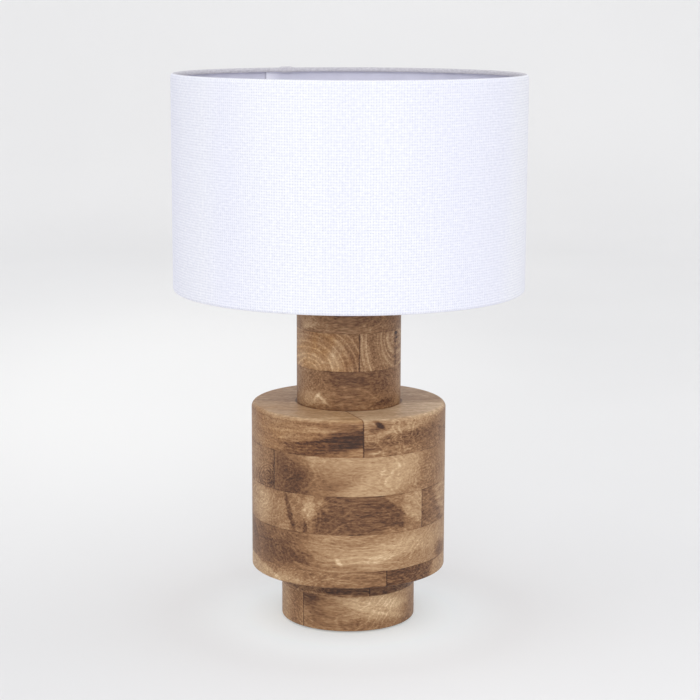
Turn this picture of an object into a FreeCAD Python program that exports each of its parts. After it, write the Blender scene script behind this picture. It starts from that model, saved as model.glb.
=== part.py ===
import FreeCAD, Part
import math
import os
import Sketcher

# Column table lamp: a column turned from nine glued boards, each edge-glued from two planks, with a
# threaded tube through it, a screw lampholder on top and a drum shade carried on a ring fitter.
# Millimetres. The origin is the middle of the underside, +Z up, the front is -Y.

doc = FreeCAD.newDocument("ColumnTableLamp")
sheet = doc.addObject("Spreadsheet::Sheet", "Sizes")

SIZES = {
    # felt under the foot
    "felt_thickness": 1.5,
    "felt_radius": 62.0,
    # turned radii of the column
    "foot_radius": 67.6,
    "body_radius": 97.8,
    "neck_radius": 52.3,
    # board thicknesses, from the foot up
    "foot_board": 35.6,
    "step_board": 34.5,
    "belly_low_board": 37.3,
    "belly_mid_board": 38.4,
    "belly_high_board": 39.1,
    "shoulder_board": 36.3,
    "neck_low_board": 38.9,
    "neck_mid_board": 37.8,
    "neck_top_board": 37.3,
    "step_rise": 18.0,
    # rounded edges
    "shoulder_round": 5.0,
    "rim_round": 1.2,
    # where the two planks of each board meet: direction from +X in degrees, and offset to its left
    "foot_seam_angle": 80.0,
    "foot_seam_offset": 35.0,
    "step_seam_angle": 122.0,
    "step_seam_offset": 15.6,
    "belly_low_seam_angle": 4.0,
    "belly_low_seam_offset": 28.0,
    "belly_mid_seam_angle": 105.0,
    "belly_mid_seam_offset": -53.1,
    "belly_high_seam_angle": 78.0,
    "belly_high_seam_offset": 57.7,
    "shoulder_seam_angle": 111.6,
    "shoulder_seam_offset": 22.0,
    "neck_low_seam_angle": 3.0,
    "neck_low_seam_offset": 15.0,
    "neck_mid_seam_angle": 84.0,
    "neck_mid_seam_offset": -15.7,
    "neck_top_seam_angle": -6.0,
    "neck_top_seam_offset": 14.0,
    # threaded tube, its hole and its nuts
    "tube_radius": 5.0,
    "tube_bore_radius": 3.5,
    "tube_hole_gap": 0.4,
    "tube_end_stand": 3.0,
    "recess_radius": 16.0,
    "recess_depth": 24.0,
    "thread_gap": 0.05,
    "washer_radius": 14.0,
    "washer_thickness": 1.6,
    "nut_width": 15.0,
    "nut_thickness": 4.0,
    "check_ring_radius": 18.0,
    "check_ring_thickness": 2.5,
    # cord inlet at the back of the foot
    "inlet_rise": 11.0,
    "inlet_hole_radius": 4.9,
    "inlet_seat_radius": 7.4,
    "inlet_seat_depth": 2.0,
    "bushing_gap": 0.1,
    "bushing_flange": 2.6,
    "bushing_length": 16.0,
    "cord_hole_radius": 3.25,
    # lampholder
    "cap_height": 25.0,
    "cap_radius": 20.5,
    "cap_boss_radius": 9.0,
    "cap_boss_height": 6.0,
    "cap_wall": 2.2,
    "cap_slope_height": 8.0,
    "cap_ledge_height": 13.0,
    "cap_ledge_width": 2.8,
    "tube_reach": 8.0,
    "core_flange_thickness": 3.0,
    "core_block_height": 12.0,
    "holder_fit_gap": 0.1,
    "skirt_radius": 19.8,
    "skirt_height": 32.0,
    "screw_shell_wall": 0.4,
    "screw_shell_height": 22.0,
    "bulb_thread_gap": 0.3,
    "contact_width": 6.0,
    "contact_length": 18.0,
    "contact_thickness": 0.8,
    "contact_pad_radius": 2.6,
    "contact_pad_rise": 1.4,
    "terminal_screw_radius": 1.6,
    "terminal_head_radius": 2.8,
    "terminal_head_height": 2.0,
    "terminal_spacing": 9.0,
    # rings on the skirt that clamp the shade
    "ring_start": 1.0,
    "ring_radius": 28.0,
    "ring_flange": 2.2,
    "ring_hub": 4.2,
    "ring_hub_width": 3.2,
    "ring_thread_gap": 0.08,
    "grip_notch_radius": 1.3,
    "fitter_bore_gap": 1.0,
    "fitter_plate_radius": 30.0,
    "fitter_plate_thickness": 1.5,
    # drum shade
    "shade_radius": 175.0,
    "shade_hang": 0.3,
    "shade_height": 212.9,
    "fabric_thickness": 0.9,
    "liner_thickness": 0.5,
    "laminate_gap": 0.05,
    "wire_radius": 1.6,
    "roll_gap": 0.5,
    "roll_drop": 1.2,
    "tuck_drop": 3.4,
    "tuck_length": 5.4,
    "lap_rise": 0.6,
    "lap_angle": 4.5,
    "lap_bearing": 112.0,
    "arm_radius": 1.75,
    "arm_gap": 0.35,
    "arm_notch_gap": 0.15,
    "arm_lead": 7.0,
    "arm_bend": 12.0,
    "first_arm_angle": 90.0,
    # screw-in candle bulb
    "bulb_seat_gap": 0.1,
    "bulb_contact_radius": 4.2,
    "bulb_contact_height": 1.2,
    "insulator_height": 4.5,
    "insulator_radius": 11.2,
    "bulb_thread_radius": 13.2,
    "bulb_cap_height": 20.0,
    "bulb_cap_wall": 0.5,
    "collar_height": 12.0,
    "collar_radius": 15.8,
    "globe_radius": 18.5,
    "globe_half_height": 44.0,
    "globe_wall": 0.9,
    "led_board_radius": 12.5,
    "led_board_thickness": 1.2,
    "led_size": 3.0,
    "led_ring_radius": 8.5,
}

# Levels and radii that follow from the sizes above.
DERIVED = {
    "wood_bottom": "felt_thickness",
    "foot_top": "wood_bottom + foot_board",
    "step_level": "foot_top + step_rise",
    "step_top": "foot_top + step_board",
    "belly_low_top": "step_top + belly_low_board",
    "belly_mid_top": "belly_low_top + belly_mid_board",
    "belly_high_top": "belly_mid_top + belly_high_board",
    "shoulder_top": "belly_high_top + shoulder_board",
    "neck_low_top": "shoulder_top + neck_low_board",
    "neck_mid_top": "neck_low_top + neck_mid_board",
    "neck_top": "neck_mid_top + neck_top_board",
    "block_reach": "2 * body_radius",
    "tube_hole_radius": "tube_radius + tube_hole_gap",
    "thread_hole_radius": "tube_radius + thread_gap",
    "recess_top": "wood_bottom + recess_depth",
    "washer_bottom": "recess_top - washer_thickness",
    "bottom_nut_bottom": "washer_bottom - nut_thickness",
    "tube_bottom": "bottom_nut_bottom - tube_end_stand",
    "check_ring_top": "neck_top + check_ring_thickness",
    "top_nut_top": "check_ring_top + nut_thickness",
    "inlet_level": "wood_bottom + inlet_rise",
    "inlet_seat_face": "foot_radius - inlet_seat_depth",
    "bushing_radius": "inlet_hole_radius - bushing_gap",
    "bushing_flange_radius": "inlet_seat_radius - bushing_gap",
    "holder_bottom": "top_nut_top",
    "boss_top": "holder_bottom + cap_boss_height",
    "cap_slope_top": "boss_top + cap_slope_height",
    "cap_ledge": "holder_bottom + cap_ledge_height",
    "cap_top": "holder_bottom + cap_height",
    "cap_mouth_radius": "cap_radius - cap_wall",
    "cap_cavity_radius": "cap_mouth_radius - cap_ledge_width",
    "cap_floor_radius": "cap_boss_radius - cap_wall",
    "tube_top": "holder_bottom + tube_reach",
    "core_flange_radius": "cap_mouth_radius - holder_fit_gap",
    "core_flange_top": "cap_ledge + core_flange_thickness",
    "core_top": "core_flange_top + core_block_height",
    "screw_shell_bore": "bulb_thread_radius + bulb_thread_gap",
    "screw_shell_radius": "screw_shell_bore + screw_shell_wall",
    "screw_shell_top": "core_top + screw_shell_height",
    "skirt_bore": "screw_shell_radius + holder_fit_gap",
    "skirt_neck_radius": "cap_mouth_radius - holder_fit_gap",
    "core_radius": "skirt_bore - holder_fit_gap",
    "skirt_top": "cap_top + skirt_height",
    "support_ring_bottom": "cap_top + ring_start",
    "support_flange_bottom": "support_ring_bottom + ring_hub",
    "support_ring_top": "support_flange_bottom + ring_flange",
    "ring_bore": "skirt_radius + ring_thread_gap",
    "ring_hub_radius": "ring_bore + ring_hub_width",
    "fitter_bore": "skirt_radius + fitter_bore_gap",
    "fitter_top": "support_ring_top + fitter_plate_thickness",
    "fitter_middle": "support_ring_top + fitter_plate_thickness / 2",
    "retaining_flange_top": "fitter_top + ring_flange",
    "retaining_ring_top": "retaining_flange_top + ring_hub",
    "shade_bottom": "neck_top + shade_hang",
    "shade_top": "shade_bottom + shade_height",
    "fabric_inner_radius": "shade_radius - fabric_thickness",
    "liner_outer_radius": "fabric_inner_radius - laminate_gap",
    "liner_inner_radius": "liner_outer_radius - liner_thickness",
    "wire_ring_radius": "liner_inner_radius - wire_radius",
    "roll_rise": "wire_radius + roll_gap",
    "roll_inner_radius": "wire_ring_radius - roll_rise - fabric_thickness",
    "roll_bore_radius": "wire_ring_radius - roll_rise",
    "tuck_inner_radius": "liner_inner_radius - fabric_thickness",
    "roll_round": "roll_rise + fabric_thickness - 0.1",
    "roll_inner_round": "roll_rise - 0.2",
    "top_wire_level": "shade_top - roll_rise - fabric_thickness",
    "top_roll_ceiling": "shade_top - fabric_thickness",
    "top_roll_end": "top_wire_level - roll_drop",
    "top_tuck_level": "top_wire_level - tuck_drop",
    "top_tuck_end": "top_tuck_level - tuck_length",
    "bottom_wire_level": "shade_bottom + roll_rise + fabric_thickness",
    "bottom_roll_floor": "shade_bottom + fabric_thickness",
    "bottom_roll_end": "bottom_wire_level + roll_drop",
    "bottom_tuck_level": "bottom_wire_level + tuck_drop",
    "bottom_tuck_end": "bottom_tuck_level + tuck_length",
    "lap_radius": "shade_radius + lap_rise",
    "lap_start": "lap_bearing - lap_angle / 2",
    "arm_inner_radius": "fitter_plate_radius + arm_gap",
    "arm_turn_radius": "arm_inner_radius + arm_lead",
    "arm_outer_radius": "wire_ring_radius - wire_radius - arm_gap",
    "arm_notch_radius": "arm_radius + arm_notch_gap",
    "second_arm_angle": "first_arm_angle + 120",
    "third_arm_angle": "first_arm_angle + 240",
    "contact_pad_top": "core_top + contact_thickness + contact_pad_rise",
    "bulb_bottom": "contact_pad_top + bulb_seat_gap",
    "bulb_contact_top": "bulb_bottom + bulb_contact_height",
    "insulator_top": "bulb_contact_top + insulator_height",
    "bulb_cap_top": "insulator_top + bulb_cap_height",
    "bulb_cap_floor": "insulator_top + 2 * bulb_cap_wall",
    "bulb_cap_bore": "bulb_thread_radius - bulb_cap_wall",
    "collar_top": "bulb_cap_top + collar_height",
    "globe_middle": "collar_top + globe_half_height / 2",
    "globe_inner_radius": "globe_radius - globe_wall",
    "globe_inner_half_height": "globe_half_height - globe_wall",
    "led_board_top": "collar_top + led_board_thickness",
}

# How many finger notches each shade ring has, and how many light sources the bulb's board has.
NOTCH_COUNT = 16
LED_COUNT = 6


def fill_sheet():
    """One row per value: the name in column A, the value or formula in column B."""
    row = 1
    for alias, value in SIZES.items():
        sheet.set(f"A{row}", alias)
        sheet.set(f"B{row}", str(value))
        sheet.setAlias(f"B{row}", alias)
        row += 1
    for alias, formula in DERIVED.items():
        sheet.set(f"A{row}", alias)
        sheet.set(f"B{row}", "=" + formula)
        sheet.setAlias(f"B{row}", alias)
        row += 1
    doc.recompute()


def value_of(alias):
    return float(getattr(sheet, alias))


def bind(thing, path, alias):
    thing.setExpression(path, "Sizes." + alias)


def bind_angle(thing, alias):
    thing.setExpression("Placement.Rotation.Angle", f"Sizes.{alias} * 1 deg")


def origin_plane(body, role):
    for feature in body.Origin.OriginFeatures:
        if feature.Role == role:
            return feature
    raise RuntimeError("no plane " + role)


def fixed_corner(sketch, edge, end, radius, level):
    """Holds one corner of a sketch at a radius and a level of the sheet. A radius of None is the axis."""
    if radius is None:
        sketch.addConstraint(Sketcher.Constraint("PointOnObject", edge, end, -2))
    else:
        number = sketch.addConstraint(
            Sketcher.Constraint("DistanceX", -1, 1, edge, end, value_of(radius)))
        bind(sketch, f"Constraints[{number}]", radius)
    number = sketch.addConstraint(
        Sketcher.Constraint("DistanceY", -1, 1, edge, end, value_of(level)))
    bind(sketch, f"Constraints[{number}]", level)


def turned_body(name, outline):
    """A body turned about +Z. The outline lists its corners as (radius, level) names."""
    body = doc.addObject("PartDesign::Body", name)
    sketch = body.newObject("Sketcher::SketchObject", name + "_outline")
    sketch.AttachmentSupport = (origin_plane(body, "XZ_Plane"), "")
    sketch.MapMode = "FlatFace"
    corners = []
    for radius, level in outline:
        across = 0.0 if radius is None else value_of(radius)
        corners.append(FreeCAD.Vector(across, value_of(level), 0))
    count = len(corners)
    for index in range(count):
        sketch.addGeometry(Part.LineSegment(corners[index], corners[(index + 1) % count]))
    for index in range(count):
        sketch.addConstraint(
            Sketcher.Constraint("Coincident", index, 2, (index + 1) % count, 1))
    for index, (radius, level) in enumerate(outline):
        fixed_corner(sketch, index, 1, radius, level)
    turn = body.newObject("PartDesign::Revolution", name + "_turn")
    turn.Profile = sketch
    turn.ReferenceAxis = (sketch, ["V_Axis"])
    turn.Angle = 360
    sketch.Visibility = False
    body.Tip = turn
    doc.recompute()
    return body


def ring_edges(shape, places):
    """Names of the round edges about the axis at the given (radius, level) names."""
    found = []
    for radius, level in places:
        for number, edge in enumerate(shape.Edges, 1):
            if not isinstance(edge.Curve, Part.Circle):
                continue
            same_radius = abs(edge.Curve.Radius - value_of(radius)) < 0.001
            if same_radius and abs(edge.Curve.Center.z - value_of(level)) < 0.001:
                found.append(f"Edge{number}")
    return found


def round_rims(body, name, places, radius):
    """Rounds a turned body's rims at the given (radius, level) names."""
    base = body.Tip
    fillet = body.newObject("PartDesign::Fillet", name)
    fillet.Base = (base, ring_edges(base.Shape, places))
    bind(fillet, "Radius", radius)
    body.Tip = fillet
    doc.recompute()
    return fillet


def cylinder(name, radius, height, level):
    """An upright cylinder on the axis."""
    solid = doc.addObject("Part::Cylinder", name)
    bind(solid, "Radius", radius)
    bind(solid, "Height", height)
    bind(solid, "Placement.Base.z", level)
    return solid


def pair(kind, name, base, tool):
    """A cut, fuse or common of two objects."""
    result = doc.addObject("Part::" + kind, name)
    result.Base = base
    result.Tool = tool
    return result


def inlet_tool():
    """The cord hole through the foot to its recess, with the flat seat for the bushing's flange."""
    hole = doc.addObject("Part::Cylinder", "inlet_hole")
    hole.Placement = FreeCAD.Placement(
        FreeCAD.Vector(0, 0, 0), FreeCAD.Rotation(FreeCAD.Vector(1, 0, 0), -90))
    bind(hole, "Radius", "inlet_hole_radius")
    bind(hole, "Height", "foot_radius")
    bind(hole, "Placement.Base.z", "inlet_level")
    seat = doc.addObject("Part::Cylinder", "inlet_seat")
    seat.Placement = FreeCAD.Placement(
        FreeCAD.Vector(0, 0, 0), FreeCAD.Rotation(FreeCAD.Vector(1, 0, 0), -90))
    bind(seat, "Radius", "inlet_seat_radius")
    seat.setExpression("Height", "Sizes.inlet_seat_depth * 2")
    bind(seat, "Placement.Base.y", "inlet_seat_face")
    bind(seat, "Placement.Base.z", "inlet_level")
    return pair("Fuse", "inlet_tool", hole, seat)


def turned_column():
    """The whole column as it leaves the lathe, drilled for the tube and the cord."""
    column = turned_body("column_turning", [
        ("recess_radius", "wood_bottom"),
        ("foot_radius", "wood_bottom"),
        ("foot_radius", "step_level"),
        ("body_radius", "step_level"),
        ("body_radius", "shoulder_top"),
        ("neck_radius", "shoulder_top"),
        ("neck_radius", "neck_top"),
        ("tube_hole_radius", "neck_top"),
        ("tube_hole_radius", "recess_top"),
        ("recess_radius", "recess_top"),
    ])
    round_rims(column, "shoulder_rounding", [("body_radius", "shoulder_top")], "shoulder_round")
    round_rims(column, "rim_rounding", [
        ("foot_radius", "wood_bottom"),
        ("body_radius", "step_level"),
        ("neck_radius", "neck_top"),
    ], "rim_round")
    return pair("Cut", "column_drilled", column, inlet_tool())


def half_block(name, board, bottom, height, near_side):
    """A block that holds the part of a board on one side of its seam."""
    block = doc.addObject("Part::Box", name)
    block.setExpression("Length", "2 * Sizes.block_reach")
    bind(block, "Width", "block_reach")
    bind(block, "Height", height)
    angle = f"(Sizes.{board}_seam_angle * 1 deg)"
    shift = f"Sizes.{board}_seam_offset"
    if near_side:
        shift = f"({shift} - Sizes.block_reach)"
    bind_angle(block, board + "_seam_angle")
    block.setExpression(
        "Placement.Base.x", f"-{shift} * sin{angle} - Sizes.block_reach * cos{angle}")
    block.setExpression(
        "Placement.Base.y", f"{shift} * cos{angle} - Sizes.block_reach * sin{angle}")
    bind(block, "Placement.Base.z", bottom)
    return block


BOARDS = [
    ("foot", "wood_bottom", "foot_board", ("left", "right")),
    ("step", "foot_top", "step_board", ("left", "right")),
    ("belly_low", "step_top", "belly_low_board", ("back", "front")),
    ("belly_mid", "belly_low_top", "belly_mid_board", ("left", "right")),
    ("belly_high", "belly_mid_top", "belly_high_board", ("left", "right")),
    ("shoulder", "belly_high_top", "shoulder_board", ("left", "right")),
    ("neck_low", "shoulder_top", "neck_low_board", ("back", "front")),
    ("neck_mid", "neck_low_top", "neck_mid_board", ("left", "right")),
    ("neck_top", "neck_mid_top", "neck_top_board", ("back", "front")),
]


def planks():
    """Each board's two planks, cut from the turned column along the glue seams."""
    column = turned_column()
    made = []
    for board, bottom, height, sides in BOARDS:
        for side in sides:
            near_side = side in ("right", "front")
            block = half_block(f"{board}_{side}_block", board, bottom, height, near_side)
            made.append(pair("Common", f"{board}_plank_{side}", column, block))
    return made


def nut(name, bottom):
    """A hexagon nut on the threaded tube."""
    blank = doc.addObject("Part::Prism", name + "_blank")
    blank.Polygon = 6
    blank.setExpression("Circumradius", "Sizes.nut_width / sqrt(3)")
    bind(blank, "Height", "nut_thickness")
    bind(blank, "Placement.Base.z", bottom)
    hole = cylinder(name + "_hole", "thread_hole_radius", "nut_thickness", bottom)
    return pair("Cut", name, blank, hole)


def column_hardware():
    felt = cylinder("felt_pad", "felt_radius", "felt_thickness", "wood_bottom")
    felt.setExpression("Placement.Base.z", "Sizes.wood_bottom - Sizes.felt_thickness")
    tube = turned_body("threaded_tube", [
        ("tube_bore_radius", "tube_bottom"),
        ("tube_radius", "tube_bottom"),
        ("tube_radius", "tube_top"),
        ("tube_bore_radius", "tube_top"),
    ])
    washer = turned_body("bottom_washer", [
        ("tube_hole_radius", "washer_bottom"),
        ("washer_radius", "washer_bottom"),
        ("washer_radius", "recess_top"),
        ("tube_hole_radius", "recess_top"),
    ])
    check_ring = turned_body("check_ring", [
        ("tube_hole_radius", "neck_top"),
        ("check_ring_radius", "neck_top"),
        ("check_ring_radius", "check_ring_top"),
        ("tube_hole_radius", "check_ring_top"),
    ])
    round_rims(check_ring, "check_ring_edge", [("check_ring_radius", "check_ring_top")], "rim_round")
    return [felt, tube, washer, nut("bottom_nut", "bottom_nut_bottom"),
            check_ring, nut("top_nut", "check_ring_top")]


def cord_bushing():
    """A flanged bushing that lies along +Y in the cord hole."""
    sleeve = doc.addObject("Part::Cylinder", "bushing_sleeve")
    bind(sleeve, "Radius", "bushing_radius")
    bind(sleeve, "Height", "bushing_length")
    flange = doc.addObject("Part::Cylinder", "bushing_flange_disc")
    bind(flange, "Radius", "bushing_flange_radius")
    bind(flange, "Height", "bushing_flange")
    bind(flange, "Placement.Base.z", "bushing_length")
    outer = pair("Fuse", "bushing_outer", sleeve, flange)
    doc.recompute()
    rim = []
    for number, edge in enumerate(outer.Shape.Edges, 1):
        far_end = edge.BoundBox.ZMin > value_of("bushing_length") + 0.5 * value_of("bushing_flange")
        if far_end and isinstance(edge.Curve, Part.Circle):
            rim.append((number, value_of("rim_round"), value_of("rim_round")))
    rounded = doc.addObject("Part::Fillet", "bushing_rounded")
    rounded.Base = outer
    rounded.Edges = rim
    hole = doc.addObject("Part::Cylinder", "bushing_cord_hole")
    bind(hole, "Radius", "cord_hole_radius")
    hole.setExpression("Height", "Sizes.bushing_length + Sizes.bushing_flange")
    bushing = pair("Cut", "cord_bushing", rounded, hole)
    bushing.Placement = FreeCAD.Placement(
        FreeCAD.Vector(0, 0, 0), FreeCAD.Rotation(FreeCAD.Vector(1, 0, 0), -90))
    bushing.setExpression("Placement.Base.y", "Sizes.inlet_seat_face - Sizes.bushing_length")
    bind(bushing, "Placement.Base.z", "inlet_level")
    return bushing


def holder_contact():
    """The sprung strip on the core that meets the bulb's centre contact."""
    strip = doc.addObject("Part::Box", "contact_strip")
    bind(strip, "Length", "contact_width")
    bind(strip, "Width", "contact_length")
    bind(strip, "Height", "contact_thickness")
    strip.setExpression("Placement.Base.x", "-Sizes.contact_width / 2")
    strip.setExpression("Placement.Base.y", "-Sizes.contact_length / 2")
    bind(strip, "Placement.Base.z", "core_top")
    pad = cylinder("contact_pad", "contact_pad_radius", "contact_pad_rise", "core_top")
    pad.setExpression("Placement.Base.z", "Sizes.core_top + Sizes.contact_thickness")
    return pair("Fuse", "holder_contact", strip, pad)


def terminal_screws(prefix, with_heads):
    """Two screws up into the core from below, or only their shanks, which drill the core."""
    solids = []
    for side, sign in (("left", "-"), ("right", "")):
        shank = doc.addObject("Part::Cylinder", f"{prefix}_{side}_shank")
        bind(shank, "Radius", "terminal_screw_radius")
        bind(shank, "Height", "core_block_height")
        shank.setExpression("Placement.Base.x", f"{sign}Sizes.terminal_spacing")
        bind(shank, "Placement.Base.z", "cap_ledge")
        solids.append(shank)
        if not with_heads:
            continue
        head = doc.addObject("Part::Cylinder", f"{prefix}_{side}_head")
        bind(head, "Radius", "terminal_head_radius")
        bind(head, "Height", "terminal_head_height")
        head.setExpression("Placement.Base.x", f"{sign}Sizes.terminal_spacing")
        head.setExpression("Placement.Base.z", "Sizes.cap_ledge - Sizes.terminal_head_height")
        solids.append(head)
    group = doc.addObject("Part::MultiFuse", prefix + "s")
    group.Shapes = solids
    return group


def lampholder():
    cap = turned_body("holder_cap", [
        ("thread_hole_radius", "holder_bottom"),
        ("cap_boss_radius", "holder_bottom"),
        ("cap_boss_radius", "boss_top"),
        ("cap_radius", "cap_slope_top"),
        ("cap_radius", "cap_top"),
        ("cap_mouth_radius", "cap_top"),
        ("cap_mouth_radius", "cap_ledge"),
        ("cap_cavity_radius", "cap_ledge"),
        ("cap_floor_radius", "boss_top"),
        ("thread_hole_radius", "boss_top"),
    ])
    round_rims(cap, "holder_cap_rim", [("cap_radius", "cap_slope_top")], "rim_round")
    core = turned_body("core_blank", [
        (None, "cap_ledge"),
        ("core_flange_radius", "cap_ledge"),
        ("core_flange_radius", "core_flange_top"),
        ("core_radius", "core_flange_top"),
        ("core_radius", "core_top"),
        (None, "core_top"),
    ])
    drilled = pair("Cut", "holder_core", core, terminal_screws("terminal_hole", False))
    skirt = turned_body("holder_skirt", [
        ("skirt_bore", "core_flange_top"),
        ("skirt_neck_radius", "core_flange_top"),
        ("skirt_neck_radius", "cap_top"),
        ("skirt_radius", "cap_top"),
        ("skirt_radius", "skirt_top"),
        ("skirt_bore", "skirt_top"),
    ])
    round_rims(skirt, "holder_skirt_rim", [("skirt_radius", "skirt_top")], "rim_round")
    shell = turned_body("screw_shell", [
        ("screw_shell_bore", "core_top"),
        ("screw_shell_radius", "core_top"),
        ("screw_shell_radius", "screw_shell_top"),
        ("screw_shell_bore", "screw_shell_top"),
    ])
    return [cap, drilled, skirt, shell, holder_contact(), terminal_screws("terminal_screw", True)]


def shade_ring(name, hub_bottom, hub_top, flange_bottom, flange_top):
    """A ring that screws on the skirt: a hub, and a flange with finger notches round its rim."""
    if hub_bottom == flange_bottom:
        outline = [
            ("ring_bore", flange_bottom),
            ("ring_radius", flange_bottom),
            ("ring_radius", flange_top),
            ("ring_hub_radius", flange_top),
            ("ring_hub_radius", hub_top),
            ("ring_bore", hub_top),
        ]
    else:
        outline = [
            ("ring_bore", hub_bottom),
            ("ring_hub_radius", hub_bottom),
            ("ring_hub_radius", flange_bottom),
            ("ring_radius", flange_bottom),
            ("ring_radius", flange_top),
            ("ring_bore", flange_top),
        ]
    blank = turned_body(name + "_blank", outline)
    notches = []
    for index in range(NOTCH_COUNT):
        notch = doc.addObject("Part::Cylinder", f"{name}_notch_{index + 1}")
        bind(notch, "Radius", "grip_notch_radius")
        bind(notch, "Height", "ring_flange")
        bearing = f"({index * 360 / NOTCH_COUNT} * 1 deg)"
        notch.setExpression("Placement.Base.x", f"Sizes.ring_radius * cos{bearing}")
        notch.setExpression("Placement.Base.y", f"Sizes.ring_radius * sin{bearing}")
        bind(notch, "Placement.Base.z", flange_bottom)
        notches.append(notch)
    tool = doc.addObject("Part::MultiFuse", name + "_notches")
    tool.Shapes = notches
    return pair("Cut", name, blank, tool)


def shade_clamp():
    """The two rings on the holder's skirt and the shade's fitter plate between them."""
    support = shade_ring("support_ring", "support_ring_bottom", "support_ring_top",
                         "support_flange_bottom", "support_ring_top")
    plate = turned_body("fitter_plate", [
        ("fitter_bore", "support_ring_top"),
        ("fitter_plate_radius", "support_ring_top"),
        ("fitter_plate_radius", "fitter_top"),
        ("fitter_bore", "fitter_top"),
    ])
    retaining = shade_ring("retaining_ring", "fitter_top", "retaining_ring_top",
                           "fitter_top", "retaining_flange_top")
    return [support, plate, retaining]


def arm_rod(name, radius, bearing):
    """One fitter arm: level off the plate, then bent down and out to the bottom wire."""
    body = doc.addObject("PartDesign::Body", name)
    path = body.newObject("Sketcher::SketchObject", name + "_path")
    path.AttachmentSupport = (origin_plane(body, "XZ_Plane"), "")
    path.MapMode = "FlatFace"
    start = FreeCAD.Vector(value_of("arm_inner_radius"), value_of("fitter_middle"), 0)
    turn = FreeCAD.Vector(value_of("arm_turn_radius"), value_of("fitter_middle"), 0)
    end = FreeCAD.Vector(value_of("arm_outer_radius"), value_of("bottom_wire_level"), 0)
    bend = value_of("arm_bend")
    centre = FreeCAD.Vector(turn.x, turn.y - bend, 0)
    slope = math.atan2(turn.y - end.y, end.x - turn.x)
    arc_end = FreeCAD.Vector(
        centre.x + bend * math.sin(slope), centre.y + bend * math.cos(slope), 0)
    path.addGeometry(Part.LineSegment(start, turn))
    path.addGeometry(Part.ArcOfCircle(
        Part.Circle(centre, FreeCAD.Vector(0, 0, 1), bend), math.pi / 2 - slope, math.pi / 2))
    path.addGeometry(Part.LineSegment(arc_end, end))
    fixed_corner(path, 0, 1, "arm_inner_radius", "fitter_middle")
    path.addConstraint(Sketcher.Constraint("Horizontal", 0))
    number = path.addConstraint(
        Sketcher.Constraint("DistanceX", -1, 1, 0, 2, value_of("arm_turn_radius")))
    bind(path, f"Constraints[{number}]", "arm_turn_radius")
    path.addConstraint(Sketcher.Constraint("Tangent", 0, 2, 1, 2))
    path.addConstraint(Sketcher.Constraint("Tangent", 1, 1, 2, 1))
    number = path.addConstraint(Sketcher.Constraint("Radius", 1, bend))
    bind(path, f"Constraints[{number}]", "arm_bend")
    fixed_corner(path, 2, 2, "arm_outer_radius", "bottom_wire_level")
    section = body.newObject("Sketcher::SketchObject", name + "_section")
    section.AttachmentSupport = (origin_plane(body, "YZ_Plane"), "")
    section.MapMode = "FlatFace"
    bind(section, "AttachmentOffset.Base.z", "arm_inner_radius")
    middle = FreeCAD.Vector(0, value_of("fitter_middle"), 0)
    section.addGeometry(Part.Circle(middle, FreeCAD.Vector(0, 0, 1), value_of(radius)))
    fixed_corner(section, 0, 3, None, "fitter_middle")
    number = section.addConstraint(Sketcher.Constraint("Radius", 0, value_of(radius)))
    bind(section, f"Constraints[{number}]", radius)
    doc.recompute()
    pipe = body.newObject("PartDesign::AdditivePipe", name + "_rod")
    pipe.Profile = section
    pipe.Spine = (path, ["Edge1", "Edge2", "Edge3"])
    body.Tip = pipe
    bind_angle(body, bearing)
    doc.recompute()
    return body


def hem(name, rim, ceiling, wire, roll_end, tuck, tuck_end):
    """Fabric rolled over a wire ring and glued back inside, round one rim of the shade."""
    body = turned_body(name, [
        ("shade_radius", wire),
        ("shade_radius", rim),
        ("roll_inner_radius", rim),
        ("roll_inner_radius", roll_end),
        ("tuck_inner_radius", tuck),
        ("tuck_inner_radius", tuck_end),
        ("liner_inner_radius", tuck_end),
        ("liner_inner_radius", tuck),
        ("roll_bore_radius", roll_end),
        ("roll_bore_radius", ceiling),
        ("fabric_inner_radius", ceiling),
        ("fabric_inner_radius", wire),
    ])
    round_rims(body, name + "_roll", [("shade_radius", rim), ("roll_inner_radius", rim)], "roll_round")
    round_rims(body, name + "_roll_inside",
               [("roll_bore_radius", ceiling), ("fabric_inner_radius", ceiling)], "roll_inner_round")
    return body


def wire_ring(name, level):
    ring = doc.addObject("Part::Torus", name)
    bind(ring, "Radius1", "wire_ring_radius")
    bind(ring, "Radius2", "wire_radius")
    bind(ring, "Placement.Base.z", level)
    return ring


def drum_wall(name, inner, outer):
    """One layer of the drum, between the levels of the two wires."""
    return turned_body(name, [
        (inner, "bottom_wire_level"),
        (outer, "bottom_wire_level"),
        (outer, "top_wire_level"),
        (inner, "top_wire_level"),
    ])


def shade_lap():
    """The upright strip where the fabric's end laps over its start, at the back."""
    strip = doc.addObject("Part::Cylinder", "lap_sector")
    bind(strip, "Radius", "lap_radius")
    strip.setExpression("Height", "Sizes.top_wire_level - Sizes.bottom_wire_level")
    strip.setExpression("Angle", "Sizes.lap_angle * 1 deg")
    bind_angle(strip, "lap_start")
    bind(strip, "Placement.Base.z", "bottom_wire_level")
    inside = doc.addObject("Part::Cylinder", "lap_inside")
    bind(inside, "Radius", "fabric_inner_radius")
    inside.setExpression("Height", "Sizes.top_wire_level - Sizes.bottom_wire_level")
    bind(inside, "Placement.Base.z", "bottom_wire_level")
    return pair("Cut", "lap_strip", strip, inside)


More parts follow.
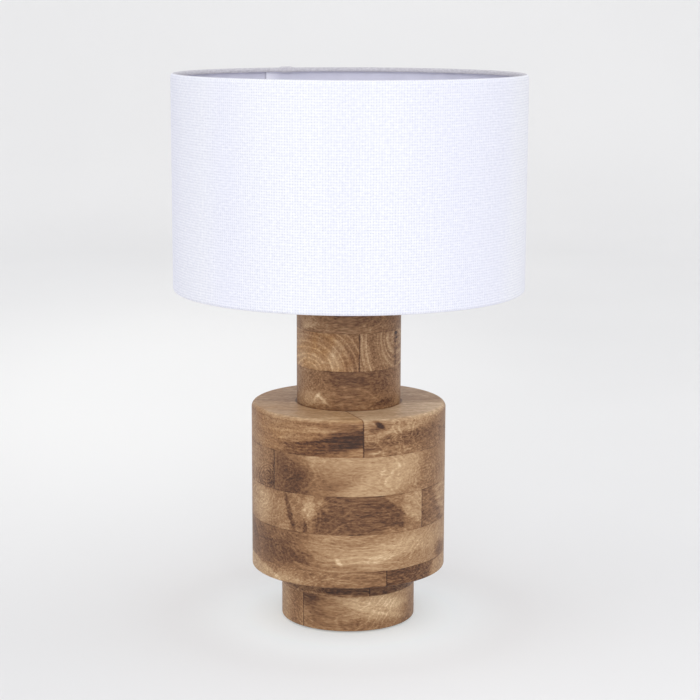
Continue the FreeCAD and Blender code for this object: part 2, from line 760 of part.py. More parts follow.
def shade():
    fabric = pair("Fuse", "shade_fabric",
                  drum_wall("fabric_drum", "fabric_inner_radius", "shade_radius"), shade_lap())
    liner = drum_wall("shade_liner", "liner_inner_radius", "liner_outer_radius")
    top_hem = hem("top_hem", "shade_top", "top_roll_ceiling", "top_wire_level",
                  "top_roll_end", "top_tuck_level", "top_tuck_end")
    bottom_roll = hem("bottom_hem_roll", "shade_bottom", "bottom_roll_floor", "bottom_wire_level",
                      "bottom_roll_end", "bottom_tuck_level", "bottom_tuck_end")
    arms = []
    slits = []
    bearings = ("first_arm_angle", "second_arm_angle", "third_arm_angle")
    for number, bearing in enumerate(bearings, 1):
        arms.append(arm_rod(f"fitter_arm_{number}", "arm_radius", bearing))
        slits.append(arm_rod(f"hem_slit_{number}", "arm_notch_radius", bearing))
    slit_tool = doc.addObject("Part::MultiFuse", "hem_slits")
    slit_tool.Shapes = slits
    bottom_hem = pair("Cut", "bottom_hem", bottom_roll, slit_tool)
    return [fabric, liner, top_hem, bottom_hem,
            wire_ring("top_wire", "top_wire_level"),
            wire_ring("bottom_wire", "bottom_wire_level")] + arms


def egg(name, radius, half_height):
    """A tall ellipsoid about the middle of the bulb's globe."""
    solid = doc.addObject("Part::Ellipsoid", name)
    bind(solid, "Radius1", half_height)
    bind(solid, "Radius2", radius)
    bind(solid, "Radius3", radius)
    bind(solid, "Placement.Base.z", "globe_middle")
    return solid


def led_board():
    """A round board with a ring of light sources, on top of the collar."""
    solids = [cylinder("led_disc", "led_board_radius", "led_board_thickness", "collar_top")]
    for index in range(LED_COUNT):
        chip = doc.addObject("Part::Cylinder", f"led_chip_{index + 1}")
        chip.setExpression("Radius", "Sizes.led_size / 2")
        bind(chip, "Height", "led_board_thickness")
        bearing = f"({index * 360 / LED_COUNT} * 1 deg)"
        chip.setExpression("Placement.Base.x", f"Sizes.led_ring_radius * cos{bearing}")
        chip.setExpression("Placement.Base.y", f"Sizes.led_ring_radius * sin{bearing}")
        bind(chip, "Placement.Base.z", "led_board_top")
        solids.append(chip)
    board = doc.addObject("Part::MultiFuse", "bulb_led_board")
    board.Shapes = solids
    return board


def bulb():
    contact = cylinder("bulb_contact", "bulb_contact_radius", "bulb_contact_height", "bulb_bottom")
    insulator = turned_body("bulb_insulator", [
        (None, "bulb_contact_top"),
        ("bulb_contact_radius", "bulb_contact_top"),
        ("insulator_radius", "insulator_top"),
        (None, "insulator_top"),
    ])
    screw_cap = turned_body("bulb_screw_cap", [
        (None, "insulator_top"),
        ("insulator_radius", "insulator_top"),
        ("bulb_thread_radius", "bulb_cap_floor"),
        ("bulb_thread_radius", "bulb_cap_top"),
        ("bulb_cap_bore", "bulb_cap_top"),
        ("bulb_cap_bore", "bulb_cap_floor"),
        (None, "bulb_cap_floor"),
    ])
    collar = turned_body("bulb_collar", [
        (None, "bulb_cap_top"),
        ("bulb_thread_radius", "bulb_cap_top"),
        ("collar_radius", "collar_top"),
        (None, "collar_top"),
    ])
    outer = egg("globe_outer", "globe_radius", "globe_half_height")
    inner = egg("globe_inner", "globe_inner_radius", "globe_inner_half_height")
    hollow = pair("Cut", "globe_hollow", outer, inner)
    above = cylinder("globe_space", "shade_radius", "shade_height", "collar_top")
    globe = pair("Common", "bulb_globe", hollow, above)
    return [contact, insulator, screw_cap, collar, globe, led_board()]


fill_sheet()
nodes = planks() + column_hardware() + [cord_bushing()] + lampholder() + shade_clamp()
nodes += shade() + bulb()
doc.recompute()

for item in doc.Objects:
    if "Invalid" in item.State or "Error" in item.State:
        raise RuntimeError(f"{item.Name} did not build: {item.State}")
for node in nodes:
    node.Label = node.Name
    if node.Shape.isNull() or not node.Shape.isValid() or not node.Shape.Solids:
        raise RuntimeError(f"{node.Name} has no valid solid")

os.makedirs("parts", exist_ok=True)
for node in nodes:
    node.Shape.exportStep(f"parts/{node.Label}.step")
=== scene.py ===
import bmesh
import bpy
import math
from mathutils import Matrix, Vector


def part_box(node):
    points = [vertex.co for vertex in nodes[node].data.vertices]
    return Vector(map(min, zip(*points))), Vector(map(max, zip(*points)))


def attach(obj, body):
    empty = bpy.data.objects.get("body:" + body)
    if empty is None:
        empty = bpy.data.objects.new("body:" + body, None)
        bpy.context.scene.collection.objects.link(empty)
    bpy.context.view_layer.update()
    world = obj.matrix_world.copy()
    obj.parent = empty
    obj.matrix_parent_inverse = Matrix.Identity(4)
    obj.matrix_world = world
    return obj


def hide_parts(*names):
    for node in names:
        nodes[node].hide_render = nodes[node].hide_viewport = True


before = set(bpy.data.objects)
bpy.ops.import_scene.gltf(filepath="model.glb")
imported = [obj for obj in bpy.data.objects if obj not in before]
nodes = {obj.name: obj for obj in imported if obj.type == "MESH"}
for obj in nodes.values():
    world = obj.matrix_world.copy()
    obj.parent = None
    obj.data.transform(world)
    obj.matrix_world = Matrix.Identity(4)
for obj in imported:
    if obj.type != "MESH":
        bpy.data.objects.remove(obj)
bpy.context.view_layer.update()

# ---------------------------------------------------------------- sizes, in metres and degrees
MM = 0.001

# The turned column. Its outside comes from the frame, and its hidden bores are as in the CAD model.
WOOD_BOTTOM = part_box("foot_plank_right")[0].z
FOOT_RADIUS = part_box("foot_plank_right")[1].x
BODY_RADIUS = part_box("belly_mid_plank_right")[1].x
NECK_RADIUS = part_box("neck_mid_plank_right")[1].x
STEP_RISE = 18.0 * MM
STEP_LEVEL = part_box("foot_plank_right")[1].z + STEP_RISE
TUBE_HOLE_RADIUS = 5.4 * MM
RECESS_RADIUS = 16.0 * MM
RECESS_DEPTH = 24.0 * MM
RECESS_TOP = WOOD_BOTTOM + RECESS_DEPTH
SHOULDER_ROUND = 5.0 * MM
SHOULDER_STEPS = 10
RIM_ROUND = 1.2 * MM
RIM_STEPS = 4
TURNING_SEGMENTS = 288
# Edges that turn by more than this stay sharp.
SHARP_ANGLE = math.radians(32)

# The cord inlet at the back of the foot, and the drill that bores it.
INLET_LEVEL = (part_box("cord_bushing")[0].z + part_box("cord_bushing")[1].z) / 2
INLET_HOLE_RADIUS = 4.9 * MM
INLET_SEAT_RADIUS = 7.4 * MM
INLET_SEAT_DEPTH = 2.0 * MM
DRILL_BEYOND_FOOT = 10 * MM
DRILL_BEYOND_RECESS = 6 * MM
DRILL_SEGMENTS = 48

# The shade's cloth and the two wires it is rolled over.
SHADE_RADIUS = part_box("shade_fabric")[1].x
WIRE_RADIUS = 1.6 * MM
WIRE_RING_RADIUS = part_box("top_wire")[1].x - WIRE_RADIUS
TOP_WIRE_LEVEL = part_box("top_wire")[1].z - WIRE_RADIUS
BOTTOM_WIRE_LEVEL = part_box("bottom_wire")[0].z + WIRE_RADIUS
CLOTH_THICKNESS = 0.85 * MM
# The cloth's inner face lies this far behind its outer face, which lies CLOTH_SINK within the drum.
CLOTH_BACK = CLOTH_THICKNESS * 0.55
CLOTH_SINK = 0.1 * MM
THREAD_PITCH = 2.55 * MM
THREAD_SLUB = 0.9 * MM
THREAD_RISE = 0.13 * MM
THREAD_SINK = 0.07 * MM
# How far round each wire the cloth is rolled, and the tucked end that shows inside the upper rim, where
# painted shade greys the cloth.
ROLL_WRAP = 214.0
ROLL_STEPS = 18
TUCK_START = 8.2 * MM
TUCK_END = 6.8 * MM
# The hidden face keeps one row in so many of the wall's rows, after the first few.
HIDDEN_FIRST = 8
HIDDEN_STRIDE = 12
# The upright lap of the cloth at the back, which is thicker where it is rolled over a wire.
LAP_BEARING = 113.0
LAP_WIDTH = 13.0 * MM
LAP_EDGE = 1.2 * MM
LAP_RISE = 0.6 * MM
ROLL_LAP_FACTOR = 1.9

# The film inside the cloth, with its own lap: a bright strip, painted shade in a dark line, and a small
# step.
LINER_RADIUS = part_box("shade_liner")[1].x
LINER_THICKNESS = 0.45 * MM
LINER_SHORT = 0.3 * MM
LINER_SEGMENTS = 720
LINER_LAP_BEARING = 120.6
LINER_LAP_ANGLE = 7.0
LINER_LAP_END = 0.1
LINER_LINE_BESIDE = 0.3
LINER_LINE_DARK = 0.1
LINER_LINE_FADE = 0.45
LINER_STEP_ANGLE = 2.0
LINER_STEP = 0.35 * MM

FELT_EDGE = 0.4 * MM
FELT_SEGMENTS = 180

# Each board's seam: the direction of its glue line from +X, and its offset to the left.
SEAMS = {
    "foot": (80.0, 35.0 * MM),
    "step": (122.0, 15.6 * MM),
    "belly_low": (4.0, 28.0 * MM),
    "belly_mid": (105.0, -53.1 * MM),
    "belly_high": (78.0, 57.7 * MM),
    "shoulder": (111.6, 22.0 * MM),
    "neck_low": (3.0, 15.0 * MM),
    "neck_mid": (84.0, -15.7 * MM),
    "neck_top": (-6.0, 14.0 * MM),
}


# ---------------------------------------------------------------- mesh helpers
def link(obj):
    """Puts an object in the scene."""
    bpy.context.scene.collection.objects.link(obj)
    return obj


def mark_sharp(mesh):
    """Smooth faces, with sharp edges where the surface turns by more than SHARP_ANGLE."""
    work = bmesh.new()
    work.from_mesh(mesh)
    for face in work.faces:
        face.smooth = True
    for edge in work.edges:
        if len(edge.link_faces) == 2 and edge.calc_face_angle(0.0) > SHARP_ANGLE:
            edge.smooth = False
    work.to_mesh(mesh)
    work.free()


def corner_arc(centre, radius, start, end, steps):
    """Points of a profile's round corner, angles in degrees from +radius towards +level."""
    points = []
    for step in range(steps + 1):
        angle = math.radians(start + (end - start) * step / steps)
        points.append((centre[0] + radius * math.cos(angle), centre[1] + radius * math.sin(angle)))
    return points


def turned_mesh(profile, segments):
    """A bmesh turned about +Z from a closed profile of (radius, level) points."""
    work = bmesh.new()
    rings = []
    for radius, level in profile:
        ring = []
        for index in range(segments):
            angle = 2 * math.pi * index / segments
            ring.append(work.verts.new(
                (radius * math.cos(angle), radius * math.sin(angle), level)))
        rings.append(ring)
    count = len(profile)
    for index in range(count):
        low, high = rings[index], rings[(index + 1) % count]
        for step in range(segments):
            after = (step + 1) % segments
            work.faces.new((low[step], low[after], high[after], high[step]))
    bmesh.ops.recalc_face_normals(work, faces=work.faces)
    return work


def made(name, work):
    """An object made of a bmesh."""
    mesh = bpy.data.meshes.new(name)
    work.to_mesh(mesh)
    work.free()
    return link(bpy.data.objects.new(name, mesh))


def finished(name, work, material, body, replaced):
    """Turns a bmesh into a piece of the lamp."""
    piece = made(name, work)
    mark_sharp(piece.data)
    piece.data.materials.append(material)
    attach(piece, body)
    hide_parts(*replaced)
    return piece


# ---------------------------------------------------------------- node helpers
class Nodes:
    """Short ways to add and join shader nodes in one tree."""

    def __init__(self, tree):
        self.tree = tree

    def add(self, kind, **settings):
        node = self.tree.nodes.new(kind)
        for key, value in settings.items():
            setattr(node, key, value)
        return node

    def feed(self, socket, value):
        if isinstance(value, bpy.types.NodeSocket):
            self.tree.links.new(value, socket)
        else:
            socket.default_value = value

    def math(self, operation, *values):
        node = self.add("ShaderNodeMath", operation=operation)
        for socket, value in zip(node.inputs, values):
            self.feed(socket, value)
        return node.outputs[0]

    def plus(self, first, second):
        return self.math("ADD", first, second)

    def minus(self, first, second):
        return self.math("SUBTRACT", first, second)

    def times(self, first, second):
        return self.math("MULTIPLY", first, second)

    def over(self, first, second):
        return self.math("DIVIDE", first, second)

    def power(self, first, second):
        return self.math("POWER", first, second)

    def size(self, value):
        return self.math("ABSOLUTE", value)

    def wave(self, count, sharpness):
        """Rises to 1 and falls to 0 once in each unit of the count."""
        return self.power(self.times(self.math("PINGPONG", count, 0.5), 2.0), sharpness)

    def vector(self, operation, *values, out=0):
        node = self.add("ShaderNodeVectorMath", operation=operation)
        for socket, value in zip(node.inputs, values):
            self.feed(socket, value)
        return node.outputs[out]

    def combine(self, x, y, z):
        node = self.add("ShaderNodeCombineXYZ")
        for socket, value in zip(node.inputs, (x, y, z)):
            self.feed(socket, value)
        return node.outputs[0]

    def length(self, x, y, z=0.0):
        return self.vector("LENGTH", self.combine(x, y, z), out=1)

    def scaled(self, vector, factor):
        longer = self.vector("SCALE", vector)
        self.feed(longer.node.inputs["Scale"], factor)
        return longer

    def split(self, vector):
        node = self.add("ShaderNodeSeparateXYZ")
        self.feed(node.inputs[0], vector)
        return node.outputs

    def noise(self, vector, scale, detail=2.0, roughness=0.5, distortion=0.0):
        node = self.add("ShaderNodeTexNoise")
        self.feed(node.inputs["Vector"], vector)
        self.feed(node.inputs["Scale"], scale)
        node.inputs["Detail"].default_value = detail
        node.inputs["Roughness"].default_value = roughness
        node.inputs["Distortion"].default_value = distortion
        return node.outputs["Fac"]

    def step(self, value, low, high, start=0.0, end=1.0):
        """A smooth step of a value from start at low to end at high."""
        node = self.add("ShaderNodeMapRange", interpolation_type="SMOOTHSTEP")
        self.feed(node.inputs["Value"], value)
        self.feed(node.inputs["From Min"], low)
        self.feed(node.inputs["From Max"], high)
        self.feed(node.inputs["To Min"], start)
        self.feed(node.inputs["To Max"], end)
        return node.outputs["Result"]

    def mix(self, share, first, second, blend="MIX"):
        node = self.add("ShaderNodeMix", data_type="RGBA", blend_type=blend)
        self.feed(node.inputs[0], share)
        self.feed(node.inputs[6], first)
        self.feed(node.inputs[7], second)
        return node.outputs[2]

    def ramp(self, value, stops):
        node = self.add("ShaderNodeValToRGB")
        elements = node.color_ramp.elements
        while len(elements) < len(stops):
            elements.new(0.5)
        for element, (place, colour) in zip(elements, stops):
            element.position = place
            element.color = colour
        self.feed(node.inputs[0], value)
        return node.outputs[0]

    def group(self, tree, **values):
        node = self.add("ShaderNodeGroup", node_tree=tree)
        for name, value in values.items():
            self.feed(node.inputs[name.replace("_", " ")], value)
        return node

    def bump(self, height, strength, distance):
        node = self.add("ShaderNodeBump")
        node.inputs["Strength"].default_value = strength
        node.inputs["Distance"].default_value = distance
        self.feed(node.inputs["Height"], height)
        return node.outputs[0]


def new_group(name, inputs, outputs):
    """A shader node group; inputs and outputs are (name, kind) with kind Float, Vector or Color."""
    tree = bpy.data.node_groups.new(name, "ShaderNodeTree")
    for label, kind in inputs:
        tree.interface.new_socket(label, in_out="INPUT", socket_type="NodeSocket" + kind)
    for label, kind in outputs:
        tree.interface.new_socket(label, in_out="OUTPUT", socket_type="NodeSocket" + kind)
    make = Nodes(tree)
    return tree, make, make.add("NodeGroupInput").outputs, make.add("NodeGroupOutput").inputs


def new_material(name):
    """A material with its Principled shader; returns it with its node helper and the shader."""
    material = bpy.data.materials.new(name)
    material.use_nodes = True
    make = Nodes(material.node_tree)
    return material, make, material.node_tree.nodes["Principled BSDF"]


def object_place(make):
    """A place on the object, in metres."""
    return make.add("ShaderNodeTexCoord").outputs["Object"]


def tone(red, green, blue):
    """A colour given as 0-255 screen values, as linear light."""
    linear = []
    for value in (red, green, blue):
        share = value / 255
        linear.append(share / 12.92 if share <= 0.04045 else ((share + 0.055) / 1.055) ** 2.4)
    return (*linear, 1.0)


# ---------------------------------------------------------------- shared effects
def timber_group():
    """Growth rings, fibres, pores and cloudy tone of one plank, round its log's pith. Noise scales
    are per metre, and a place shrunk along the grain draws its noise out into streaks."""
    tree, make, given, out = new_group(
        "timber_figure",
        [("Place", "Vector"), ("Grain Angle", "Float"), ("Pith Across", "Float"),
         ("Pith Height", "Float"), ("Squash", "Float"), ("Ring Spacing", "Float"),
         ("Waviness", "Float"), ("Seed", "Float")],
        [("Rings", "Float"), ("Fibre", "Float"), ("Pores", "Float"), ("Cloud", "Float"),
         ("Figure", "Float")])
    turn = make.add("ShaderNodeVectorRotate", rotation_type="Z_AXIS")
    make.feed(turn.inputs["Vector"], given["Place"])
    make.feed(turn.inputs["Angle"], make.times(given["Grain Angle"], -1.0))
    along, across, up = make.split(turn.outputs[0])
    along = make.plus(along, given["Seed"])
    drift = make.noise(make.combine(make.times(along, 0.35), across, up), 24.0, 3.0, 0.55)
    drift = make.times(make.minus(drift, 0.5), given["Waviness"])
    across_pith = make.minus(across, given["Pith Across"])
    up_pith = make.times(make.minus(up, given["Pith Height"]), given["Squash"])
    reach = make.length(across_pith, up_pith)
    count = make.over(make.plus(reach, drift), given["Ring Spacing"])
    uneven = make.noise(make.combine(make.times(count, 0.61), 0.0, given["Seed"]), 1.0, 2.0)
    count = make.plus(count, make.times(uneven, 2.4))
    line = make.wave(count, 3.0)
    strength = make.noise(make.combine(make.times(count, 0.43), 4.0, given["Seed"]), 1.0, 1.0)
    rings = make.times(line, make.step(strength, 0.34, 0.62, 0.15, 1.0))
    fray = make.noise(make.combine(across, up, make.times(along, 0.5)), 210.0, 3.0, 0.6)
    rings = make.times(rings, make.step(fray, 0.28, 0.56, 0.50, 1.0))
    fine = make.combine(across, up, make.times(along, 0.30))
    long = make.combine(across, up, make.times(along, 0.09))
    fibre_fine = make.noise(fine, 620.0, 2.0, 0.55)
    fibre_wide = make.noise(long, 420.0, 3.0, 0.6, 0.3)
    fibre = make.plus(make.times(fibre_fine, 0.55), make.times(fibre_wide, 0.45))
    dash = make.combine(across, up, make.times(along, 0.16))
    pores = make.step(make.noise(dash, 900.0, 1.0, 0.5), 0.58, 0.72)
    slow = make.combine(across, make.times(up, 1.4), make.times(along, 0.45))
    cloud = make.noise(slow, 21.0, 5.0, 0.62, 0.6)
    streaky = make.combine(across, make.times(up, 1.3), make.times(along, 0.22))
    figure = make.noise(streaky, 110.0, 6.0, 0.74, 0.5)
    for name, value in (("Rings", rings), ("Fibre", fibre), ("Pores", pores), ("Cloud", cloud),
                        ("Figure", figure)):
        make.feed(out[name], value)
    return tree


# Patches and swirls fade out over this depth on the column's flanks, and a patch's ragged edge is
# drawn out along the grain.
FRONT_FADE = -16.0 * MM
STREAKY_EDGE = (0.42, 0.42, 1.7)


def tilted(make, given, across, height):
    """How far a place lies along and up a tilted oval, in shares of its half sizes."""
    cos = make.math("COSINE", given["Tilt"])
    sin = make.math("SINE", given["Tilt"])
    run = make.plus(make.times(across, cos), make.times(height, sin))
    rise = make.minus(make.times(height, cos), make.times(across, sin))
    return make.over(run, given["Half Width"]), make.over(rise, given["Half Height"])


def patch_group():
    """A soft-edged oval of tone on the front of the column, placed by its width and height."""
    tree, make, given, out = new_group(
        "tone_patch",
        [("Place", "Vector"), ("Across", "Float"), ("Height", "Float"), ("Half Width", "Float"),
         ("Half Height", "Float"), ("Tilt", "Float"), ("Softness", "Float"), ("Ragged", "Float"),
         ("Squareness", "Float")],
        [("Mask", "Float")])
    x, y, z = make.split(given["Place"])
    ragged = make.add("ShaderNodeTexNoise")
    make.feed(ragged.inputs["Vector"], make.vector("MULTIPLY", given["Place"], STREAKY_EDGE))
    ragged.inputs["Scale"].default_value = 95.0
    ragged.inputs["Detail"].default_value = 6.0
    ragged.inputs["Roughness"].default_value = 0.70
    shift = make.scaled(make.vector("SUBTRACT", ragged.outputs["Color"], (0.5, 0.5, 0.5)), given["Ragged"])
    shift_x, _, shift_z = make.split(shift)
    across = make.plus(make.minus(x, given["Across"]), shift_x)
    height = make.plus(make.minus(z, given["Height"]), shift_z)
    run, rise = tilted(make, given, across, height)
    squareness = given["Squareness"]
    far = make.plus(make.power(make.size(run), squareness), make.power(make.size(rise), squareness))
    far = make.power(far, make.over(1.0, squareness))
    inside = make.step(far, make.minus(1.0, given["Softness"]), make.plus(1.0, given["Softness"]), 1.0, 0.0)
    make.feed(out["Mask"], make.times(inside, make.step(y, FRONT_FADE, 0.0, 1.0, 0.0)))
    return tree


def swirl_group():
    """Fine pale rings that curl round a knot or a burl on the front of the column."""
    tree, make, given, out = new_group(
        "grain_swirl",
        [("Place", "Vector"), ("Across", "Float"), ("Height", "Float"), ("Half Width", "Float"),
         ("Half Height", "Float"), ("Tilt", "Float"), ("Count", "Float"), ("Seed", "Float")],
        [("Lines", "Float")])
    x, y, z = make.split(given["Place"])
    across = make.minus(x, given["Across"])
    height = make.minus(z, given["Height"])
    far = make.length(*tilted(make, given, across, height))
    shifted = make.vector("ADD", given["Place"], make.combine(given["Seed"], 0.0, 0.0))
    warp = make.noise(shifted, 70.0, 3.0, 0.6)
    line = make.wave(make.plus(make.times(far, given["Count"]), make.times(warp, 3.2)), 2.2)
    line = make.times(make.minus(line, 0.35), make.step(far, 0.55, 1.25, 1.0, 0.0))
    make.feed(out["Lines"], make.times(line, make.step(y, FRONT_FADE, 0.0, 1.0, 0.0)))
    return tree


def seam_group():
    """The dark hairline of glue where a plank meets its neighbours."""
    tree, make, given, out = new_group(
        "glue_line",
        [("Place", "Vector"), ("Bottom", "Float"), ("Top", "Float"), ("Seam Normal", "Vector"),
         ("Seam Offset", "Float"), ("Width", "Float")],
        [("Level Line", "Float"), ("Seam Line", "Float")])
    _, _, z = make.split(given["Place"])
    below = make.size(make.minus(z, given["Bottom"]))
    above = make.size(make.minus(z, given["Top"]))
    beside = make.vector("DOT_PRODUCT", given["Place"], given["Seam Normal"], out=1)
    beside = make.size(make.minus(beside, given["Seam Offset"]))
    narrow = make.times(given["Width"], 0.2)
    level = make.step(make.math("MINIMUM", below, above), narrow, given["Width"], 1.0, 0.0)
    seam = make.step(beside, narrow, given["Width"], 1.0, 0.0)
    broken = make.step(make.noise(given["Place"], 55.0, 3.0), 0.38, 0.60, 0.10, 1.0)
    make.feed(out["Level Line"], make.times(level, broken))
    make.feed(out["Seam Line"], seam)
    return tree


TIMBER = timber_group()
PATCH = patch_group()
SWIRL = swirl_group()
SEAM = seam_group()

# A patch's edge is more ragged the larger the patch, between these values in millimetres.
LEAST_RAGGED = 1.5
MOST_RAGGED = 9.0
# How far apart the planks, and the swirls of one plank, lie in their noise.
PLANK_SEED_STEP = 3.7
SWIRL_SEED_STEP = 5.0

# Glue lines, pores, painted shade in a line round the neck's foot and painted light on the shoulder's top
# face.
GLUE_WIDTH = 0.75 * MM
SHOULDER_GLUE_WIDTH = 1.1 * MM
LEVEL_LINE_SHARE = 0.55
GLUE_DARKNESS = 0.34
PORE_DARKNESS = 0.12
NECK_SHADE_OUT = 0.3 * MM
NECK_SHADE_DARKNESS = 0.42
CROWN_PAINTED_LIGHT = 0.17

# Tones of the wood from darkest to palest.
WOOD_TONES = [
    (0.0, tone(54, 29, 13)),
    (0.2, tone(96, 61, 36)),
    (0.42, tone(138, 100, 66)),
    (0.62, tone(168, 133, 97)),
    (0.82, tone(195, 163, 126)),
    (1.0, tone(226, 199, 163)),
]
GOLD_TINT = tone(214, 176, 104)


def shoulder_painted_shade_and_light(make, place, value):
    """Paints shade on the shoulder in a line round the neck, and paints light on its top face."""
    x, y, z = make.split(place)
    near = make.size(make.minus(make.length(x, y), NECK_RADIUS + NECK_SHADE_OUT))
    # Painted shade in a line round the neck's foot.
    value = make.minus(value, make.step(near, 0.3 * MM, 2.2 * MM, NECK_SHADE_DARKNESS, 0.0))
    # Painted light on the shoulder's top face.
    crown = LEVELS["shoulder"][1]
    return make.plus(value, make.step(z, crown - 2.5 * MM, crown - 0.2 * MM, 0.0, CROWN_PAINTED_LIGHT))


def with_squareness(patch):
    """A patch's row with its last value filled in: a plain oval's squareness is 2."""
    return patch if len(patch) == 8 else (*patch, 2.0)


def wood(name, board, bottom, top, depth=1.0, cloud=0.35, grain=0.0, pith=(0.0, 0.0), squash=1.0,
         spacing=5.0, waviness=14.0, rings=0.05, figure=0.24, fibre=1.08, gold=0.0, patches=(),
         swirls=(), seed=1):
    """One plank's material. Its tone starts at depth, from 0 for the darkest to 1 for the palest.
    Patches are (across, height, half width, half height, tilt, softness, tone change, squareness),
    and swirls are (across, height, half width, half height, tilt, rings, tone change), in
    millimetres and degrees. Heights are from the wood's bottom. The glue lines lie at the levels
    bottom and top. Gold yellows the tone."""
    material, make, shader = new_material(name)
    place = object_place(make)
    timber = make.group(
        TIMBER, Place=place, Grain_Angle=math.radians(grain), Pith_Across=pith[0] * MM,
        Pith_Height=pith[1] * MM + WOOD_BOTTOM, Squash=squash, Ring_Spacing=spacing * MM,
        Waviness=waviness * MM, Seed=seed * PLANK_SEED_STEP)

    def spread(output, middle, amount):
        return make.times(make.minus(timber.outputs[output], middle), amount)

    def oval(across, height, half_width, half_height, tilt):
        return dict(Place=place, Across=across * MM, Height=height * MM + WOOD_BOTTOM,
                    Half_Width=half_width * MM, Half_Height=half_height * MM, Tilt=math.radians(tilt))

    value = make.plus(depth, spread("Cloud", 0.5, cloud * 2))
    value = make.plus(value, spread("Figure", 0.5, figure * 2))
    value = make.plus(value, spread("Rings", 0.1, rings))
    for *shape, softness, change, squareness in map(with_squareness, patches):
        ragged = min(MOST_RAGGED, LEAST_RAGGED + min(shape[2:4]))
        patch = make.group(PATCH, **oval(*shape), Softness=softness, Ragged=ragged * MM,
                           Squareness=squareness)
        value = make.plus(value, make.times(patch.outputs[0], change))
    for number, (*shape, count, change) in enumerate(swirls):
        swirl = make.group(SWIRL, **oval(*shape), Count=float(count),
                           Seed=seed + number * SWIRL_SEED_STEP)
        value = make.plus(value, make.times(swirl.outputs[0], change))
    value = make.plus(value, spread("Fibre", 0.5, fibre))
    value = make.minus(value, make.times(timber.outputs["Pores"], PORE_DARKNESS))
    angle, offset = SEAMS[board]
    normal = (-math.sin(math.radians(angle)), math.cos(math.radians(angle)), 0.0)
    width = SHOULDER_GLUE_WIDTH if board == "shoulder" else GLUE_WIDTH
    line = make.group(SEAM, Place=place, Bottom=bottom, Top=top, Seam_Normal=normal,
                      Seam_Offset=offset, Width=width)
    lines = make.plus(make.times(line.outputs["Level Line"], LEVEL_LINE_SHARE),
                      line.outputs["Seam Line"])
    value = make.minus(value, make.times(lines, GLUE_DARKNESS))
    if board == "shoulder":
        value = shoulder_painted_shade_and_light(make, place, value)
    colour = make.ramp(value, WOOD_TONES)
    if gold:
        warm = make.times(make.step(timber.outputs["Cloud"], 0.3, 0.7), gold)
        colour = make.mix(warm, colour, GOLD_TINT, "MULTIPLY")
    make.feed(shader.inputs["Base Color"], colour)
    make.feed(shader.inputs["Roughness"], make.step(timber.outputs["Fibre"], 0.25, 0.75, 0.58, 0.44))
    shader.inputs["Specular IOR Level"].default_value = 0.35
    shader.inputs["Coat Weight"].default_value = 0.08
    shader.inputs["Coat Roughness"].default_value = 0.38
    relief = make.minus(timber.outputs["Fibre"], make.times(timber.outputs["Pores"], 0.8))
    relief = make.minus(relief, make.times(lines, 1.6))
    make.feed(shader.inputs["Normal"], make.bump(relief, 0.30, 0.25 * MM))
    return material


# ---------------------------------------------------------------- geometry node helpers
class Shapes(Nodes):
    """Short ways to add and join geometry nodes in one tree."""

    def shape(self, kind, *fed, out=0, **values):
        """Adds a node, feeds its inputs in order and then by name, and gives one output."""
        node = self.add("Geometry" + kind)
        for socket, value in zip(node.inputs, fed):
            self.feed(socket, value)
        for name, value in values.items():
            self.feed(node.inputs[name.replace("_", " ")], value)
        return node.outputs[out]

    def circle(self, points, radius):
        return self.shape("NodeCurvePrimitiveCircle", Resolution=points, Radius=radius)

    def raised(self, geometry, level):
        return self.shape("NodeTransform", geometry, Translation=self.combine(0.0, 0.0, level))

    def end(self, geometry):
        """Realizes the tree's instances and gives them its material."""
        real = self.shape("NodeRealizeInstances", geometry)
        dressed = self.shape("NodeSetMaterial", real, Material=self.given["Material"])
        self.feed(self.out["Geometry"], dressed)

    def stored(self, name, kind):
        node = self.add("GeometryNodeInputNamedAttribute", data_type=kind)
        node.inputs["Name"].default_value = name
        return node.outputs["Attribute"]


def drop(obj):
    """Removes a helper object with its mesh."""
    mesh = obj.data
    bpy.data.objects.remove(obj)
    bpy.data.meshes.remove(mesh)


def new_shape_tree(name, inputs):
    """A geometry node tree; inputs are (name, kind) after its Geometry."""
    tree = bpy.data.node_groups.new(name, "GeometryNodeTree")
    tree.interface.new_socket("Geometry", in_out="INPUT", socket_type="NodeSocketGeometry")
    for label, kind in inputs:
        tree.interface.new_socket(label, in_out="INPUT", socket_type="NodeSocket" + kind)
    tree.interface.new_socket("Geometry", in_out="OUTPUT", socket_type="NodeSocketGeometry")
    make = Shapes(tree)
    make.given = make.add("NodeGroupInput").outputs
    make.out = make.add("NodeGroupOutput").inputs
    return tree, make, make.given


def grown(obj, tree, **values):
    """What a geometry node tree makes of an object, as a bmesh; the object is removed."""
    modifier = obj.modifiers.new(tree.name, "NODES")
    modifier.node_group = tree
    for item in tree.interface.items_tree:
        label = item.name.replace(" ", "_")
        if item.in_out == "INPUT" and label in values:
            modifier[item.identifier] = values[label]
    evaluated = obj.evaluated_get(bpy.context.evaluated_depsgraph_get())
    mesh = bpy.data.meshes.new_from_object(evaluated)
    obj.modifiers.remove(modifier)
    work = bmesh.new()
    work.from_mesh(mesh)
    bpy.data.meshes.remove(mesh)
    drop(obj)
    return work


# ---------------------------------------------------------------- the wooden column
# A level far above the lamp, for a board's end that has no glue line.
NO_LINE = 9.0


def board_levels():
    """Bottom and top level of each board, from the frame."""
    levels = {}
    for board in SEAMS:
        side = "right" if f"{board}_plank_right" in nodes else "front"
        low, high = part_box(f"{board}_plank_{side}")
        levels[board] = (low.z, high.z)
    return levels


LEVELS = board_levels()


